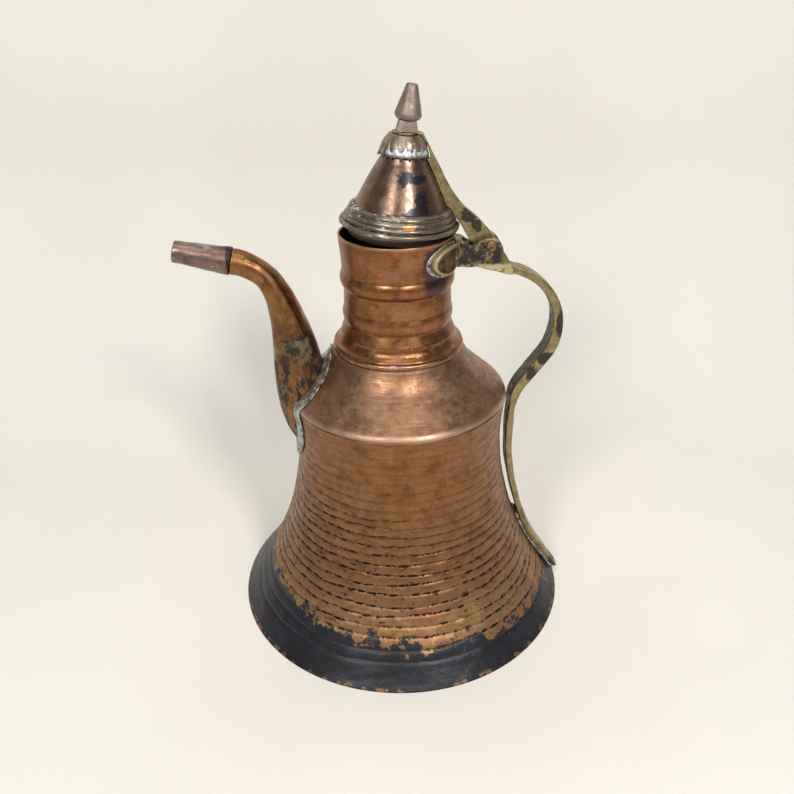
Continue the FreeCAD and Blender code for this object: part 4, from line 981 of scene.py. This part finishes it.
def build_cap():
    """A sheet dome whose edge is cut into pointed petals. They hug the cone, but
    those on the spout's side have lifted."""
    centre_turn = math.radians(180 / PETALS)
    low, high = upright_span("lid_cap", LID)
    sheet = 0.8 * MM
    rows, columns = 34, 14
    heights = np.linspace(high - 0.02 * MM, low + 0.02 * MM, rows)
    side = measure_side("lid_cap", centre_turn + math.pi / 2, heights, LID)
    cone_side = measure_side("lid_cone", CLEAR_SIDE, heights, LID)
    flat_top = 9
    radii = np.concatenate([np.linspace(1.9 * MM, side[0], flat_top)[:-1], side])
    levels = np.concatenate([np.full(flat_top - 1, high), heights])
    levels[flat_top - 1] = high
    inward = np.concatenate([np.full(flat_top - 1, 0.0), cone_side])
    notch_top = low + 9.4 * MM
    draw = np.random.default_rng(91)
    points, faces, tips = [], [], []
    count = len(radii)
    for petal in range(PETALS):
        middle = (petal + 0.5) * 2 * math.pi / PETALS
        toward_spout = max(0.0, -math.cos(middle - math.radians(12)))
        flare = 1.1 * MM * toward_spout ** 6 + draw.uniform(-0.15, 0.1) * MM
        shorter = draw.uniform(-0.1, 0.3) * MM + 1.0 * MM * toward_spout ** 6
        lean = draw.uniform(-0.06, 0.06)
        first = len(points)
        for level, radius, cone in zip(levels, radii, inward):
            down = np.clip((notch_top - level) / (notch_top - low), 0, 1)
            wide = 1.0 - 0.80 * down ** 1.3
            hug = cone + sheet + 0.15 * MM - radius
            reach = radius + down ** 1.3 * min(hug, 0.0) + flare * down ** 1.5
            height = level + shorter * down
            for step in range(columns + 1):
                across = step / columns - 0.5
                turn = middle + (across * wide + lean * down) * 2 * math.pi / PETALS
                curl = 1 - 0.02 * down * (2 * across) ** 2
                points.append((reach * curl * math.cos(turn), reach * curl * math.sin(turn), height))
                tips.append(np.clip((down - 0.8) / 0.2, 0, 1))
        for row in range(count - 1):
            for step in range(columns):
                a = first + row * (columns + 1) + step
                faces.append((a, a + 1, a + columns + 2, a + columns + 1))
    cap = make_object("lid_cap_petals", place_points(np.array(points), LID), faces, {"tip": tips})
    close_up(cap)
    thicken = cap.modifiers.new("sheet", "SOLIDIFY")
    thicken.thickness = sheet
    thicken.offset = -1.0
    thicken.use_even_offset = False
    graph = bpy.context.evaluated_depsgraph_get()
    bpy.context.view_layer.update()
    solid = bpy.data.meshes.new_from_object(cap.evaluated_get(graph), depsgraph=graph)
    cap.modifiers.clear()
    cap.data = solid
    cap.data.shade_smooth()
    finish_piece(cap, "lid_cap", "lid", cap_material())
    fill = remade("cap_solder_fill", "cap_solder", 0.3 * MM, 2, 0.1 * MM, 3 * MM, seed=92)
    finish_piece(fill, "cap_solder", "lid", cap_solder_material())


def build_lid_trim():
    strap = remade("lid_hinge_strap", "lid_strap", 0.33 * MM, 3, 0.1 * MM, 9 * MM, seed=95)
    points = mesh_points(strap)
    normals = normals_of(strap)
    # Low on the strap, faces turned down and toward the neck: painted shade, with some black patina.
    lower = np.clip((268 * MM - points[:, 2]) / (8 * MM), 0, 1)
    inner = np.clip(-normals[:, 2] * 1.5 - normals[:, 0] * 1.1 - 0.3, 0, 1) * lower
    add_mask(strap, "inner", inner)
    places = (
        ((0.0400, -0.003, 0.2500), 5 * MM, (1.1, 1.0, 1.0)),
        ((0.0440, -0.003, 0.2445), 4 * MM, (1.0, 1.0, 1.2)),
    )
    finish_piece(strap, "lid_strap", "lid", strap_brass("strap_brass", places))
    metal = finial_material()
    collar = remade("finial_block", "finial_collar", 0.25 * MM, 3, 0.12 * MM, 5 * MM, seed=96)
    finish_piece(collar, "finial_collar", "lid", metal)
    knob = remade("finial_knob_cast", "finial_knob", 0.3 * MM, 4, 0.16 * MM, 9 * MM, seed=97)
    finish_piece(knob, "finial_knob", "lid", metal)
    repaint("lid_bezel", bpy.data.materials["lid_copper"])
    repaint("finial_washer", metal)
    repaint("finial_rivet", metal)


# ------------------------------------------------------- floor, light, view

def backdrop():
    """A pale sheet that lies flat and then rises behind the ewer."""
    half_width, front, bend, radius, top = 1.6, -1.6, 0.12, 0.22, 1.5
    line = [(front, 0.0)]
    for step in range(0, 25):
        turn = math.radians(90) * step / 24
        line.append((bend + radius * math.sin(turn), radius - radius * math.cos(turn)))
    line.append((bend + radius, top))
    points = [(x, y, z) for y, z in line for x in (-half_width, half_width)]
    faces = [(2 * i, 2 * i + 1, 2 * i + 3, 2 * i + 2) for i in range(len(line) - 1)]
    sheet = make_object("backdrop", points, faces)
    paint = Paint("backdrop_paper")
    shade = paint.patches(220 * MM, 0.4, 0.65, detail=2)
    colour = paint.blend((0.80, 0.785, 0.745), (0.775, 0.76, 0.72), shade)
    grain = paint.bump(paint.noise(1.5 * MM, detail=2), 0.1 * MM)
    sheet.data.materials.append(paint.done(colour, 0.9, 0.0, grain))


def area_light(name, place, aim, size, power, colour):
    light = bpy.data.lights.new(name, "AREA")
    light.shape = "RECTANGLE"
    light.size, light.size_y = size
    light.energy = power
    light.color = colour
    item = bpy.data.objects.new(name, light)
    item.location = place
    item.rotation_euler = (Vector(aim) - Vector(place)).to_track_quat("-Z", "Y").to_euler()
    bpy.context.scene.collection.objects.link(item)


def light_the_scene():
    world = bpy.data.worlds.new("room")
    bpy.context.scene.world = world
    world.use_nodes = True
    background = world.node_tree.nodes["Background"]
    background.inputs["Color"].default_value = (0.92, 0.90, 0.86, 1)
    background.inputs["Strength"].default_value = 0.22
    area_light("window_left", (-0.60, -0.98, 0.98), (0, 0, 0.15), (0.30, 0.34), 7.5, (1.0, 0.97, 0.93))
    area_light("window_right", (0.45, -1.02, 1.00), (0, 0, 0.15), (0.24, 0.28), 11.0, (1.0, 0.97, 0.92))
    area_light("ceiling", (0.0, -0.2, 1.7), (0, 0, 0), (1.0, 0.7), 6.0, (1.0, 0.98, 0.95))
    bpy.context.scene.view_settings.view_transform = "Standard"


CAMERA_PLACE = (-0.0222, -0.4235, 0.3698)
CAMERA_TURN = (2.85, 28.68, -0.87)  # yaw, pitch down and roll, in degrees
CAMERA_LENS = 35.88
CAMERA_SENSOR = 36.0


def make_camera():
    data = bpy.data.cameras.new("view")
    data.sensor_width = CAMERA_SENSOR
    data.lens = CAMERA_LENS
    yaw, pitch, roll = (math.radians(angle) for angle in CAMERA_TURN)
    level_share = math.cos(pitch)
    forward = Vector((math.sin(yaw) * level_share, math.cos(yaw) * level_share, -math.sin(pitch)))
    level = forward.cross(Vector((0, 0, 1))).normalized()
    upward = level.cross(forward)
    right = level * math.cos(roll) + upward * math.sin(roll)
    above = upward * math.cos(roll) - level * math.sin(roll)
    camera = bpy.data.objects.new("view", data)
    turn = Matrix((right, above, -forward)).transposed().to_4x4()
    camera.matrix_world = Matrix.Translation(CAMERA_PLACE) @ turn
    bpy.context.scene.collection.objects.link(camera)
    bpy.context.scene.camera = camera


solder = build_body()
build_spout(solder)
build_hinge(solder)
build_handle(solder)
build_lid()
backdrop()
light_the_scene()
make_camera()

bpy.context.view_layer.update()
